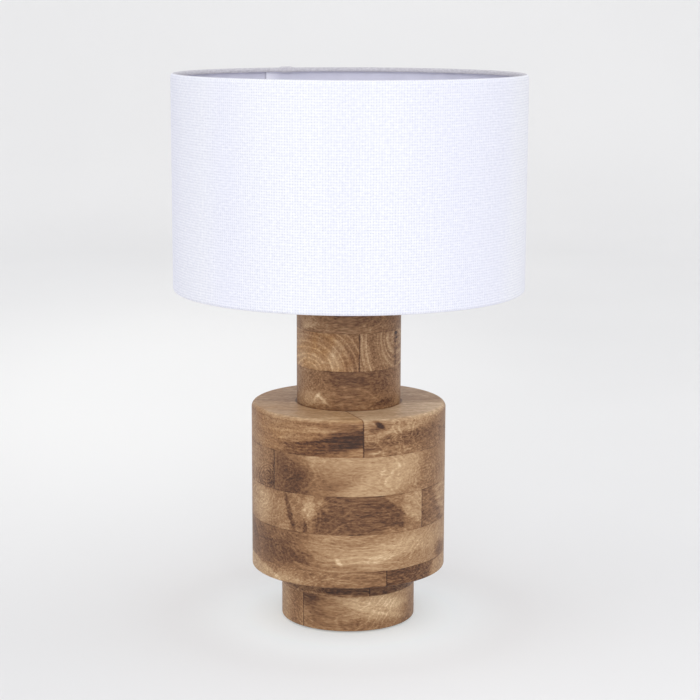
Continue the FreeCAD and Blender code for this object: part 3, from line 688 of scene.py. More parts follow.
def board_profile(board):
    """The turned outline of one board as (radius, level) points, inner side first."""
    low, high = LEVELS[board]
    inner = TUBE_HOLE_RADIUS
    if board == "foot":
        rim = corner_arc((FOOT_RADIUS - RIM_ROUND, low + RIM_ROUND), RIM_ROUND, -90, 0, RIM_STEPS)
        return [(inner, RECESS_TOP), (RECESS_RADIUS, RECESS_TOP), (RECESS_RADIUS, low), *rim,
                (FOOT_RADIUS, high), (inner, high)]
    if board == "step":
        rim = corner_arc((BODY_RADIUS - RIM_ROUND, STEP_LEVEL + RIM_ROUND), RIM_ROUND, -90, 0, RIM_STEPS)
        return [(inner, low), (FOOT_RADIUS, low), (FOOT_RADIUS, STEP_LEVEL), *rim,
                (BODY_RADIUS, high), (inner, high)]
    if board == "shoulder":
        rim = corner_arc((BODY_RADIUS - SHOULDER_ROUND, high - SHOULDER_ROUND),
                         SHOULDER_ROUND, 0, 90, SHOULDER_STEPS)
        return [(inner, low), (BODY_RADIUS, low), *rim, (inner, high)]
    if board == "neck_top":
        rim = corner_arc((NECK_RADIUS - RIM_ROUND, high - RIM_ROUND), RIM_ROUND, 0, 90, RIM_STEPS)
        return [(inner, low), (NECK_RADIUS, low), *rim, (inner, high)]
    radius = NECK_RADIUS if board.startswith("neck") else BODY_RADIUS
    return [(inner, low), (radius, low), (radius, high), (inner, high)]


def with_inlet(work):
    """The foot with its cord inlet bored from the back, and the flange's seat round its mouth."""
    seat = FOOT_RADIUS - INLET_SEAT_DEPTH
    outside = FOOT_RADIUS + DRILL_BEYOND_FOOT
    inside = RECESS_RADIUS - DRILL_BEYOND_RECESS
    profile = [(0.0, inside), (INLET_HOLE_RADIUS, inside), (INLET_HOLE_RADIUS, seat),
               (INLET_SEAT_RADIUS, seat), (INLET_SEAT_RADIUS, outside), (0.0, outside)]
    drill = turned_mesh(profile, DRILL_SEGMENTS)
    bmesh.ops.remove_doubles(drill, verts=drill.verts, dist=1e-7)
    lift = Matrix.Translation((0.0, 0.0, INLET_LEVEL))
    drill.transform(lift @ Matrix.Rotation(-math.pi / 2, 4, "X"))
    bmesh.ops.recalc_face_normals(drill, faces=drill.faces)
    pair = [made("foot_blank", work), made("inlet_drill", drill)]
    cut = pair[0].modifiers.new("inlet", "BOOLEAN")
    cut.operation = "DIFFERENCE"
    cut.solver = "EXACT"
    cut.object = pair[1]
    bored = bmesh.new()
    bored.from_object(pair[0], bpy.context.evaluated_depsgraph_get())
    for obj in pair:
        drop(obj)
    return bored


def plank(board, side, material):
    """One plank: its board's turned ring, cut along the glue seam."""
    angle, offset = SEAMS[board]
    normal = Vector((-math.sin(math.radians(angle)), math.cos(math.radians(angle)), 0.0))
    keep_left = side in ("left", "back")
    work = turned_mesh(board_profile(board), TURNING_SEGMENTS)
    bmesh.ops.bisect_plane(
        work, geom=[*work.verts, *work.edges, *work.faces], plane_co=normal * offset,
        plane_no=normal, clear_inner=keep_left, clear_outer=not keep_left)
    rim = [edge for edge in work.edges if edge.is_boundary]
    bmesh.ops.holes_fill(work, edges=rim, sides=0)
    if (board, side) == ("foot", "right"):
        work = with_inlet(work)
    bmesh.ops.recalc_face_normals(work, faces=work.faces)
    node = f"{board}_plank_{side}"
    finished(f"{board}_{side}_board", work, material, "base", [node])


# How each plank looks, by its board and the side of the seam it lies on. The values are those of
# wood(). Patches and swirls lie on the front, where the photograph shows the tones.
PLANK_LOOKS = {
    ("foot", "left"): dict(
        depth=0.50, waviness=22, spacing=2.8, cloud=0.12, grain=86, pith=(-40, 90), rings=0.2,
        figure=0.16, gold=0.25,
        # The first patch, on the left flank, is painted sheen.
        patches=[(-64, 24, 7, 40, 0, 0.5, 0.08), (-52, 26, 6, 30, 0, 0.6, -0.12),
                 (-43, 10, 5, 16, 0, 0.6, 0.08)]),
    ("foot", "right"): dict(
        depth=0.47, fibre=0.8, waviness=34, cloud=0.08, grain=-18, pith=(60, -60), rings=0.2, spacing=4.4,
        patches=[(-39, 31, 8, 7, 0, 0.5, -0.26), (-30, 22, 8, 12, 0, 0.6, -0.10),
                 (28, 23, 36, 12, -14, 0.5, 0.24), (8, 30, 30, 3.0, -16, 0.5, 0.12, 3),
                 (30, 17, 34, 2.4, -18, 0.5, 0.12, 3), (44, 30, 18, 9, -6, 0.6, 0.17),
                 (62, 12, 8, 12, 0, 0.6, -0.16), (14, 20, 26, 1.6, -18, 0.6, -0.10),
                 (0, 6, 60, 5, 0, 0.6, -0.06), (18, 27, 26, 1.2, -15, 0.6, -0.08)]),
    ("step", "left"): dict(
        depth=0.42, waviness=34, spacing=3.6, cloud=0.14, grain=8, pith=(70, 150), rings=0.18,
        patches=[(-84, 57, 34, 9, -26, 0.16, 0.24), (-52, 56, 26, 4, -12, 0.5, 0.12),
                 (-14, 57, 14, 5, 0, 0.6, -0.08), (-58, 60, 12, 6, 0, 0.6, 0.12),
                 # The wide dark patch at height 46 is painted shadow under the body's overhang.
                 (-6, 60, 20, 2, -8, 0.6, 0.06), (0, 46, 90, 8, 0, 0.2, -0.30, 4),
                 (-40, 44, 14, 6, 0, 0.5, 0.20), (30, 65, 22, 5, 0, 0.6, -0.08)],
        swirls=[(-10, 64, 30, 8, 4, 4, 0.10)]),
    ("step", "right"): dict(
        depth=0.24, waviness=24, spacing=2.6, cloud=0.10, grain=14, pith=(90, 150), rings=0.14,
        # The first patch is painted sheen on the right flank.
        patches=[(93, 62, 10, 20, -24, 0.3, 0.34), (50, 66, 20, 3, 6, 0.6, -0.06),
                 # The wide dark patch at height 46 is painted shadow under the body's overhang.
                 (0, 46, 90, 8, 0, 0.2, -0.06, 4)],
        swirls=[(58, 64, 18, 10, 10, 4, 0.12)]),
    ("belly_low", "front"): dict(
        depth=0.56, fibre=0.8, waviness=44, cloud=0.10, grain=6, pith=(-120, 140), rings=0.16,
        spacing=4.2, figure=0.2,
        patches=[(-74, 91, 38, 26, 4, 0.45, -0.25, 3), (-58, 82, 26, 8, -4, 0.5, -0.10),
                 (22, 87, 44, 9, 8, 0.6, 0.14), (60, 94, 28, 12, 0, 0.6, 0.08),
                 (-9, 80, 2.2, 5, 34, 0.5, 0.22), (-40, 94, 12, 6, 0, 0.6, 0.08),
                 (-18, 76, 30, 4, 0, 0.6, -0.12), (32, 81, 14, 6, 0, 0.6, 0.10),
                 (92, 76, 5, 10, 10, 0.5, -0.24), (44, 80, 24, 2.0, 10, 0.5, -0.10),
                 (-48, 75, 6, 1.6, -14, 0.4, 0.14), (-18, 103, 12, 2, 20, 0.6, 0.08),
                 (-66, 94, 26, 1.6, 6, 0.6, -0.10)],
        swirls=[(44, 83, 30, 9, 8, 5, 0.12), (-80, 96, 22, 12, 0, 5, 0.10),
                (8, 99, 26, 9, -4, 4, 0.09)]),
    ("belly_low", "back"): dict(depth=0.46, cloud=0.34, grain=6, pith=(120, 140), rings=0.10),
    ("belly_mid", "left"): dict(
        depth=0.43, fibre=0.92, waviness=40, spacing=3.4, cloud=0.08, grain=12, pith=(60, 260), rings=0.16,
        patches=[(11, 124, 44, 34, 0, 0.07, -0.18, 6), (59, 139, 28, 12, -44, 0.12, 0.20, 4),
                 (-34, 140, 16, 8, 66, 0.15, 0.15, 3), (-4, 108, 24, 5, 0, 0.6, 0.08),
                 (46, 108, 11, 6, 0, 0.6, 0.18), (-57, 125, 2.4, 20, 14, 0.4, -0.24),
                 (-65, 117, 6, 14, 10, 0.6, 0.08), (-46, 116, 5, 10, 12, 0.6, -0.08),
                 (-42, 112, 2.0, 8, 0, 0.5, -0.18), (-36, 131, 9, 12, -20, 0.5, 0.11),
                 (-24, 139, 4.5, 3, 0, 0.5, 0.20), (-22, 133, 3, 2.4, 0, 0.5, 0.14),
                 # The patch at -86 across is painted sheen on the left flank.
                 (-86, 128, 10, 18, 0, 0.7, 0.24), (-72, 134, 14, 8, 0, 0.6, 0.06)],
        swirls=[(-84, 135, 16, 20, 0, 5, 0.16), (26, 121, 34, 14, 0, 5, 0.10),
                (-34, 125, 14, 20, 0, 3, 0.12)]),
    ("belly_mid", "right"): dict(
        depth=0.34, waviness=22, spacing=2.6, cloud=0.12, grain=72, pith=(30, 80), rings=0.2,
        # The first patch is painted sheen on the right flank.
        patches=[(98, 123, 8, 26, 20, 0.25, 0.26, 3), (68, 121, 5, 26, 14, 0.6, -0.10)]),
    ("belly_high", "left"): dict(
        depth=0.44, waviness=26, spacing=2.6, cloud=0.10, grain=84, pith=(-60, 140), rings=0.2,
        patches=[(-72, 156, 6, 24, 0, 0.6, -0.18), (-84, 154, 12, 7, -20, 0.6, -0.12),
                 # The last patch is painted sheen on the left flank.
                 (-92, 168, 5, 16, 0, 0.6, 0.10)],
        swirls=[(-80, 157, 14, 20, -20, 6, 0.20)]),
    ("belly_high", "right"): dict(
        depth=0.61, fibre=0.72, waviness=50, cloud=0.08, grain=4, pith=(-190, 150), rings=0.15,
        spacing=4.4, figure=0.18,
        patches=[(-66, 160, 26, 34, 8, 0.5, -0.31), (-34, 156, 26, 20, -14, 0.6, -0.19),
                 (0, 180, 34, 6, 0, 0.6, 0.06), (36, 162, 34, 14, 24, 0.6, 0.13),
                 (84, 168, 14, 30, 0, 0.6, -0.16), (-6, 158, 18, 5, 20, 0.6, -0.08),
                 (62, 150, 20, 4, 10, 0.6, -0.08)],
        swirls=[(76, 161, 20, 18, 30, 6, 0.14), (26, 161, 30, 14, -10, 5, 0.10),
                (-60, 167, 16, 14, 0, 4, 0.10)]),
    ("shoulder", "left"): dict(
        depth=0.47, waviness=26, spacing=3.2, cloud=0.06, grain=2, pith=(-60, 345), rings=0.17,
        figure=0.26, gold=0.55,
        patches=[(-14, 197, 50, 8.0, 12, 0.3, -0.22, 4), (0, 204, 18, 13, 0, 0.4, -0.19, 3),
                 (-44, 197, 30, 1.6, 8, 0.5, -0.14), (-30, 205, 34, 1.2, 10, 0.6, -0.12),
                 (-50, 202, 26, 1.2, 8, 0.6, 0.14), (-36, 209, 40, 1.4, 4, 0.6, 0.14),
                 (10, 190, 10, 5, 0, 0.5, 0.10), (-74, 206, 30, 5, -4, 0.6, 0.10),
                 (-84, 192, 24, 4, -4, 0.6, 0.10), (-34, 212, 50, 2.4, -3, 0.6, 0.12),
                 # The last patch is painted light on the shoulder's rounded top.
                 (-30, 221, 70, 3.0, 0, 0.4, 0.18, 4)]),
    ("shoulder", "right"): dict(
        depth=0.43, waviness=40, cloud=0.10, grain=8, pith=(30, 240), rings=0.22, spacing=3.4,
        patches=[(24, 204, 7, 7, 0, 0.6, 0.16), (21, 196, 10, 6, 0, 0.6, -0.20),
                 (18, 206, 4, 10, 0, 0.6, 0.04), (30, 216, 6.5, 2.2, -34, 0.4, -0.40),
                 (25, 211, 5, 3, 20, 0.5, -0.18), (38, 209, 14, 2.0, 34, 0.5, 0.16),
                 (56, 201, 18, 6, 0, 0.6, -0.10), (66, 214, 28, 5, 10, 0.6, 0.16),
                 (84, 200, 16, 12, 0, 0.6, -0.08), (44, 190, 24, 4, 6, 0.6, 0.08),
                 # The last patch is painted light on the shoulder's rounded top.
                 (50, 221, 60, 3.0, 0, 0.4, 0.20, 4)],
        swirls=[(54, 202, 24, 10, 12, 6, 0.17), (22, 203, 10, 14, 0, 4, 0.12)]),
    ("neck_low", "front"): dict(
        depth=0.385, fibre=1.0, waviness=34, spacing=3.2, cloud=0.07, grain=4, pith=(60, 300), rings=0.07,
        # The patches at -47 and 50 across are painted sheen on the two flanks.
        patches=[(6, 252, 36, 12, 0, 0.35, -0.11, 3), (-47, 244, 12, 24, 0, 0.5, 0.10),
                 (-34, 231, 14, 6, 20, 0.6, 0.12), (-31, 234, 5, 1.6, 55, 0.5, 0.24),
                 (-25, 231, 8, 1.4, -40, 0.5, 0.22), (-34, 232, 13, 7, 0, 0.6, 0.12),
                 (-26, 250, 8, 8, 0, 0.6, 0.10), (50, 240, 4, 30, 0, 0.5, 0.12),
                 (34, 227, 8, 3, 12, 0.5, -0.24), (-8, 240, 22, 6, 0, 0.6, 0.08),
                 (0, 229, 28, 4, 0, 0.6, 0.06)],
        swirls=[(-34, 249, 12, 14, 0, 4, 0.12)]),
    ("neck_low", "back"): dict(depth=0.40, cloud=0.24, grain=4, pith=(60, 300), rings=0.08),
    ("neck_mid", "left"): dict(
        depth=0.56, cloud=0.06, grain=90, pith=(38, 259), spacing=5.6, waviness=5,
        rings=0.27, figure=0.20, gold=0.75,
        patches=[(-44, 272, 26, 16, 0, 0.6, 0.20), (-13, 268, 7, 14, 20, 0.5, 0.12),
                 (7, 275, 10, 26, 0, 0.4, -0.14), (0, 290, 10, 4, -20, 0.6, 0.06)]),
    ("neck_mid", "right"): dict(
        depth=0.46, cloud=0.08, grain=90, pith=(-47, 290), squash=0.55, spacing=3.6, waviness=6,
        rings=0.28, figure=0.18,
        patches=[(46.5, 295, 1.3, 1.5, 0, 0.4, -0.70), (47.5, 290, 1.0, 1.0, 0, 0.4, -0.40),
                 (17, 279, 4, 18, 14, 0.5, 0.10), (46, 279, 1.4, 20, 0, 0.5, -0.20),
                 (24, 279, 4, 18, 6, 0.6, -0.06)]),
    ("neck_top", "front"): dict(
        depth=0.36, waviness=34, spacing=3.4, cloud=0.14, grain=-4, pith=(-80, 360), rings=0.18,
        patches=[(-38, 304, 9, 2.4, 30, 0.6, 0.20), (-40, 308, 8, 2, 40, 0.6, 0.14),
                 # The patch at -48 across is painted sheen on the left flank.
                 (-30, 308, 14, 8, 0, 0.6, 0.12), (-48, 311, 8, 18, 0, 0.6, 0.10),
                 # The wide dark patch at height 326 is painted shade from the shade above.
                 (10, 326, 50, 14, 0, 0.7, -0.10), (20, 303, 24, 4, 0, 0.6, 0.06)]),
    ("neck_top", "back"): dict(depth=0.36, cloud=0.24, grain=-4, pith=(-80, 360), rings=0.08),
}


def build_column():
    """All the planks, each with a material of its own."""
    for number, ((board, side), look) in enumerate(PLANK_LOOKS.items(), 1):
        low, high = LEVELS[board]
        bottom = NO_LINE if board == "foot" else low
        top = NO_LINE if board in ("shoulder", "neck_top") else high
        material = wood(f"wood_{board}_{side}", board, bottom, top, seed=number, **look)
        plank(board, side, material)


# ---------------------------------------------------------------- the shade
def weave_group():
    """A plain weave on a UV map in metres: height of the threads and the pinholes between them."""
    tree, make, given, out = new_group(
        "plain_weave", [("Place", "Vector"), ("Pitch", "Float"), ("Slub", "Float")],
        [("Height", "Float"), ("Gap", "Float"), ("Streak", "Float")])
    u, v, _ = make.split(given["Place"])
    wander = make.noise(make.combine(make.times(u, 0.2), v, 0.0), 160.0, 2.0)
    wander = make.times(make.minus(wander, 0.5), given["Slub"])
    sway = make.noise(make.combine(u, make.times(v, 0.2), 3.0), 160.0, 2.0)
    sway = make.times(make.minus(sway, 0.5), given["Slub"])
    s = make.over(make.plus(u, sway), given["Pitch"])
    t = make.over(make.plus(v, wander), given["Pitch"])
    warp = make.size(make.math("SINE", make.times(s, math.pi)))
    weft = make.size(make.math("SINE", make.times(t, math.pi)))
    over = make.math("MODULO", make.plus(make.math("FLOOR", s), make.math("FLOOR", t)), 2.0)
    chosen = make.add("ShaderNodeMix", data_type="FLOAT")
    make.feed(chosen.inputs[0], make.size(over))
    make.feed(chosen.inputs[2], make.times(warp, make.power(weft, 0.35)))
    make.feed(chosen.inputs[3], make.times(weft, make.power(warp, 0.35)))
    make.feed(out["Height"], chosen.outputs[0])
    make.feed(out["Gap"], make.step(make.math("MAXIMUM", warp, weft), 0.25, 0.62, 1.0, 0.0))
    streak_u = make.noise(make.combine(make.times(u, 230.0), make.times(v, 560.0), 0.0), 1.0, 1.0)
    streak_v = make.noise(make.combine(make.times(u, 560.0), make.times(v, 230.0), 5.0), 1.0, 1.0)
    make.feed(out["Streak"], make.plus(make.times(streak_u, 0.68), make.times(streak_v, 0.32)))
    return tree


WEAVE = weave_group()


def linen_material(flat_height):
    """White linen: irregular threads, broad cool and warm bands, painted shade in the pinholes and on the
    low parts of the threads, and painted shade on the glued tuck.
    """
    material, make, shader = new_material("white_linen")
    place = make.add("ShaderNodeUVMap", uv_map="cloth_metres").outputs[0]
    u, v, _ = make.split(place)
    weave = make.group(WEAVE, Place=place, Pitch=THREAD_PITCH, Slub=THREAD_SLUB)
    band = make.noise(make.combine(u, make.times(v, 0.12), 0.0), 11.0, 1.0)
    streak = weave.outputs["Streak"]
    cool = make.ramp(streak, [(0.30, tone(224, 226, 241)), (0.66, tone(240, 241, 252))])
    warm = make.ramp(streak, [(0.30, tone(229, 231, 241)), (0.66, tone(244, 245, 251))])
    colour = make.mix(make.step(band, 0.34, 0.66), cool, warm)
    # Painted shade in the pinholes between the threads and on the low parts of each thread.
    shaded = make.mix(make.times(weave.outputs["Gap"], 0.62), colour, tone(196, 198, 214))
    low_thread = make.step(weave.outputs["Height"], 0.1, 0.9, 0.18, 0.0)
    colour = make.mix(low_thread, shaded, tone(204, 207, 222))
    # Painted shade greys the tucked end inside the upper rim.
    tucked = make.step(v, flat_height - TUCK_START, flat_height - TUCK_END)
    tuck_shade = make.ramp(streak, [(0.3, tone(184, 182, 190)), (0.7, tone(210, 208, 214))])
    colour = make.mix(tucked, colour, tuck_shade)
    make.feed(shader.inputs["Base Color"], colour)
    shader.inputs["Roughness"].default_value = 0.86
    shader.inputs["Specular IOR Level"].default_value = 0.25
    shader.inputs["Sheen Weight"].default_value = 0.12
    make.feed(shader.inputs["Normal"], make.bump(weave.outputs["Height"], 0.6, 0.30 * MM))
    return material


def rolled_over(level, start):
    """The cloth's outside round one wire, as (radius, level, outward direction) points."""
    reach = SHADE_RADIUS - WIRE_RING_RADIUS
    points = []
    for index in range(ROLL_STEPS + 1):
        angle = start + math.radians(ROLL_WRAP) * index / ROLL_STEPS
        across, up = math.cos(angle), math.sin(angle)
        points.append((WIRE_RING_RADIUS + reach * across, level + reach * up, across, up))
    return points


def cloth_profile():
    """The cloth's outside from its tucked lower edge over both wires to its tucked upper edge."""
    height = TOP_WIRE_LEVEL - BOTTOM_WIRE_LEVEL
    rows = round(height / THREAD_PITCH)
    wall = [(SHADE_RADIUS, BOTTOM_WIRE_LEVEL + height * row / rows, 1.0, 0.0) for row in range(1, rows)]
    lower = rolled_over(BOTTOM_WIRE_LEVEL, 2 * math.pi - math.radians(ROLL_WRAP))
    return lower + wall + rolled_over(TOP_WIRE_LEVEL, 0.0)


def lap_height(angle):
    """How far the cloth's lap stands out at a bearing in radians."""
    half = LAP_WIDTH / SHADE_RADIUS / 2
    away = abs((angle - math.radians(LAP_BEARING) + math.pi) % (2 * math.pi) - math.pi)
    edge = LAP_EDGE / SHADE_RADIUS
    share = min(1.0, max(0.0, (half - away) / edge + 0.5))
    return LAP_RISE * share * share * (3 - 2 * share)


def weave_tree():
    """Lifts and sinks the crossings of a woven wall in turn, by their stored row and column."""
    tree, make, given = new_shape_tree(
        "woven_relief", [("Rise", "Float"), ("Sink", "Float"), ("Material", "Material")])
    crossing = make.plus(make.stored("row", "INT"), make.stored("column", "INT"))
    over = make.math("MODULO", crossing, 2.0)
    lift = make.times(over, make.plus(given["Rise"], given["Sink"]))
    lift = make.minus(lift, given["Sink"])
    lift = make.times(lift, make.stored("wall", "FLOAT"))
    x, y, _ = make.split(make.shape("NodeInputPosition"))
    outward = make.vector("NORMALIZE", make.combine(x, y, 0.0))
    moved = make.shape("NodeSetPosition", given["Geometry"], Offset=make.scaled(outward, lift))
    make.end(moved)
    return tree


def cloth_rings(work, profile, columns):
    """The rings of points of the cloth's outer and inner face, one pair for each row of threads."""
    row_of = work.verts.layers.int.new("row")
    column_of = work.verts.layers.int.new("column")
    wall_of = work.verts.layers.float.new("wall")
    outer = []
    inner = []
    for row, (radius, level, across, up) in enumerate(profile):
        outer_ring = []
        inner_ring = []
        on_wall = across == 1.0
        for column in range(columns):
            angle = 2 * math.pi * column / columns
            push = lap_height(angle) * (1.0 if on_wall else ROLL_LAP_FACTOR) - CLOTH_SINK
            for ring, out in ((outer_ring, push), (inner_ring, push - CLOTH_BACK)):
                here = radius + out * across
                there = level + out * up
                ring.append(work.verts.new((here * math.cos(angle), here * math.sin(angle), there)))
            crossing = outer_ring[-1]
            crossing[row_of] = row
            crossing[column_of] = column
            crossing[wall_of] = 1.0 if on_wall else 0.0
        outer.append(outer_ring)
        inner.append(inner_ring)
    return outer, inner


def sew_outer(work, outer, layer, lengths):
    """The cloth's outer face, laid out in metres on its UV map."""
    columns = len(outer[0])
    around = 2 * math.pi * SHADE_RADIUS / columns
    for row in range(len(outer) - 1):
        for column in range(columns):
            after = (column + 1) % columns
            face = work.faces.new((outer[row][column], outer[row][after],
                                   outer[row + 1][after], outer[row + 1][column]))
            places = ((column, row), (column + 1, row), (column + 1, row + 1), (column, row + 1))
            for loop, (step, line) in zip(face.loops, places):
                loop[layer].uv = (step * around, lengths[line])


def sew_inner(work, outer, inner):
    """The cloth's hidden face, which needs only a few rows on the wall, and its two long edges."""
    last = len(inner) - 1
    rolled = ROLL_STEPS + 1
    kept = [*range(rolled), *range(rolled + HIDDEN_FIRST, len(inner) - rolled, HIDDEN_STRIDE),
            *range(len(inner) - rolled, len(inner))]
    for ring in set(range(len(inner))) - set(kept):
        for vertex in inner[ring]:
            work.verts.remove(vertex)
    columns = len(inner[0])
    for low, high in zip(kept, kept[1:]):
        for column in range(columns):
            after = (column + 1) % columns
            work.faces.new((inner[low][after], inner[low][column],
                            inner[high][column], inner[high][after]))
    for row, flip in ((0, False), (last, True)):
        for column in range(columns):
            after = (column + 1) % columns
            corners = [outer[row][after], outer[row][column], inner[row][column], inner[row][after]]
            work.faces.new(corners[::-1] if flip else corners)


def build_cloth():
    """The woven cover as one closed sheet, with the threads' over and under in its outer face."""
    profile = cloth_profile()
    columns = 2 * round(math.pi * SHADE_RADIUS / THREAD_PITCH)
    lengths = [0.0]
    for first, second in zip(profile, profile[1:]):
        lengths.append(lengths[-1] + math.hypot(second[0] - first[0], second[1] - first[1]))
    flat_height = lengths[-1]
    work = bmesh.new()
    layer = work.loops.layers.uv.new("cloth_metres")
    outer, inner = cloth_rings(work, profile, columns)
    sew_outer(work, outer, layer, lengths)
    sew_inner(work, outer, inner)
    linen = linen_material(flat_height)
    work = grown(made("cloth_blank", work), weave_tree(), Rise=THREAD_RISE, Sink=THREAD_SINK,
                 Material=linen)
    piece = finished("shade_cover", work, linen, "shade",
                     ["shade_fabric", "top_hem", "bottom_hem"])


def liner_material():
    """White film, brighter where its ends lap, with painted shade in a dark line along the lap's edge."""
    material, make, shader = new_material("styrene_liner")
    place = object_place(make)
    mottle = make.noise(place, 60.0, 3.0)
    colour = make.ramp(mottle, [(0.3, tone(206, 206, 223)), (0.7, tone(217, 217, 233))])
    x, y, _ = make.split(place)
    bearing = make.math("ARCTAN2", y, x)
    start = math.radians(LINER_LAP_BEARING)
    after = make.step(bearing, start - math.radians(LINER_LAP_ANGLE), start, 0.0, 1.0)
    before = make.step(bearing, start, start + math.radians(LINER_LAP_END), 1.0, 0.0)
    colour = make.mix(make.times(after, before), colour, tone(238, 238, 250))
    # Painted shade: a dark line along the lap's edge.
    beside = make.size(make.minus(bearing, start + math.radians(LINER_LINE_BESIDE)))
    edge = make.step(beside, math.radians(LINER_LINE_DARK), math.radians(LINER_LINE_FADE), 0.6, 0.0)
    colour = make.mix(edge, colour, tone(150, 148, 164))
    make.feed(shader.inputs["Base Color"], colour)
    make.feed(shader.inputs["Roughness"], make.step(mottle, 0.3, 0.7, 0.50, 0.62))
    make.feed(shader.inputs["Normal"], make.bump(make.noise(place, 900.0, 2.0), 0.08, 0.1 * MM))
    return material


def build_liner():
    """The film inside the cloth, its two ends lapped at the back."""
    low = BOTTOM_WIRE_LEVEL + LINER_SHORT
    high = TOP_WIRE_LEVEL - LINER_SHORT
    inside = LINER_RADIUS - LINER_THICKNESS
    work = turned_mesh([(inside, low), (LINER_RADIUS, low), (LINER_RADIUS, high), (inside, high)],
                       LINER_SEGMENTS)
    half = math.radians(LINER_STEP_ANGLE)
    for vertex in work.verts:
        angle = math.atan2(vertex.co.y, vertex.co.x)
        away = angle - math.radians(LINER_LAP_BEARING) + half
        flat = Vector((vertex.co.x, vertex.co.y, 0.0))
        if abs(away) < half and flat.length < LINER_RADIUS - 0.5 * LINER_THICKNESS:
            vertex.co -= flat.normalized() * LINER_STEP
    finished("shade_lining", work, liner_material(), "shade", ["shade_liner"])


# ---------------------------------------------------------------- the shade's wire frame
# The arms run level off the fitter plate for ARM_LEAD, bend down, and run straight to the lower wire.
ARM_RADIUS = 1.75 * MM
ARM_COUNT = 3
ARM_BEARING = 90.0
ARM_GAP = 0.35 * MM
ARM_LEAD = 7.0 * MM
ARM_BEND = 12.0 * MM
ARM_BEND_STEPS = 16
RING_POINTS = 320
WIRE_SIDES = 20
ARM_SIDES = 24


def wire_tree():
    """Two wire rings and the arms repeated round the axis, swept round from their paths."""
    tree, make, given = new_shape_tree(
        "wire_frame", [("Ring Radius", "Float"), ("Wire Radius", "Float"), ("Lower Level", "Float"),
                       ("Upper Level", "Float"), ("Arm Count", "Int"), ("First Bearing", "Float"),
                       ("Arm Radius", "Float"), ("Material", "Material")])
    ring = make.circle(RING_POINTS, given["Ring Radius"])
    section = make.circle(WIRE_SIDES, given["Wire Radius"])
    wire = make.shape("NodeCurveToMesh", ring, Profile_Curve=section)
    lower = make.raised(wire, given["Lower Level"])
    upper = make.raised(wire, given["Upper Level"])
    path = make.shape("NodeMeshToCurve", given["Geometry"])
    rod_section = make.circle(ARM_SIDES, given["Arm Radius"])
    rod = make.shape("NodeCurveToMesh", path, Profile_Curve=rod_section, Fill_Caps=True)
    turn = make.over(2 * math.pi, given["Arm Count"])
    turn = make.times(turn, make.shape("NodeInputIndex"))
    turn = make.combine(0.0, 0.0, make.plus(turn, given["First Bearing"]))
    places = make.shape("NodePoints", Count=given["Arm Count"])
    arms = make.shape("NodeInstanceOnPoints", places, Instance=rod, Rotation=turn)
    join = make.add("GeometryNodeJoinGeometry")
    for part in (arms, upper, lower):
        make.tree.links.new(part, join.inputs[0])
    make.end(join.outputs[0])
    return tree


def arm_path():
    """The line an arm follows, from the fitter plate along +X to the lower wire."""
    low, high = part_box("fitter_plate")
    start = Vector((high.x + ARM_GAP, 0.0, (low.z + high.z) / 2))
    turn = start + Vector((ARM_LEAD, 0.0, 0.0))
    end = Vector((WIRE_RING_RADIUS - WIRE_RADIUS - ARM_GAP, 0.0, BOTTOM_WIRE_LEVEL))
    centre = turn - Vector((0.0, 0.0, ARM_BEND))
    reach = Vector((end.x - centre.x, 0.0, end.z - centre.z))
    towards = math.atan2(reach.z, reach.x)
    leave = towards + math.acos(ARM_BEND / reach.length)
    points = [start]
    for step in range(ARM_BEND_STEPS + 1):
        angle = math.pi / 2 + (leave - math.pi / 2) * step / ARM_BEND_STEPS
        points.append(centre + ARM_BEND * Vector((math.cos(angle), 0.0, math.sin(angle))))
    points.append(end)
    mesh = bpy.data.meshes.new("arm_path")
    mesh.from_pydata(points, [(number, number + 1) for number in range(len(points) - 1)], [])
    return link(bpy.data.objects.new("arm_path", mesh))


def build_wires():
    """The shade's rings and arms as one piece; returns their enamel, which the plate shares."""
    enamel = plain_finish("white_enamel", (228, 228, 226), (240, 240, 238), (0.36, 0.28), 500, coat=0.2)
    work = grown(arm_path(), wire_tree(), Ring_Radius=WIRE_RING_RADIUS, Wire_Radius=WIRE_RADIUS,
                 Lower_Level=BOTTOM_WIRE_LEVEL, Upper_Level=TOP_WIRE_LEVEL, Arm_Count=ARM_COUNT,
                 First_Bearing=math.radians(ARM_BEARING), Arm_Radius=ARM_RADIUS, Material=enamel)
    bmesh.ops.recalc_face_normals(work, faces=work.faces)
    finished("wire_frame", work, enamel, "shade",
             ["top_wire", "bottom_wire", "fitter_arm_1", "fitter_arm_2", "fitter_arm_3"])
    return enamel


# ---------------------------------------------------------------- hardware finishes
def plain_finish(name, dark, light, rough, scale, metallic=0.0, coat=0.0):
    """A finish with fine mottling in its colour, gloss and surface. Tones are screen values, and
    rough is the roughness of the darkest and of the lightest mottle."""
    material, make, shader = new_material(name)
    place = object_place(make)
    mottle = make.noise(place, scale, 4.0, 0.6)
    make.feed(shader.inputs["Base Color"], make.ramp(mottle, [(0.3, tone(*dark)), (0.7, tone(*light))]))
    make.feed(shader.inputs["Roughness"], make.step(mottle, 0.3, 0.7, *rough))
    make.feed(shader.inputs["Normal"], make.bump(make.noise(place, scale * 6, 2.0), 0.1, 0.1 * MM))
    shader.inputs["Metallic"].default_value = metallic
    shader.inputs["Coat Weight"].default_value = coat
    return material


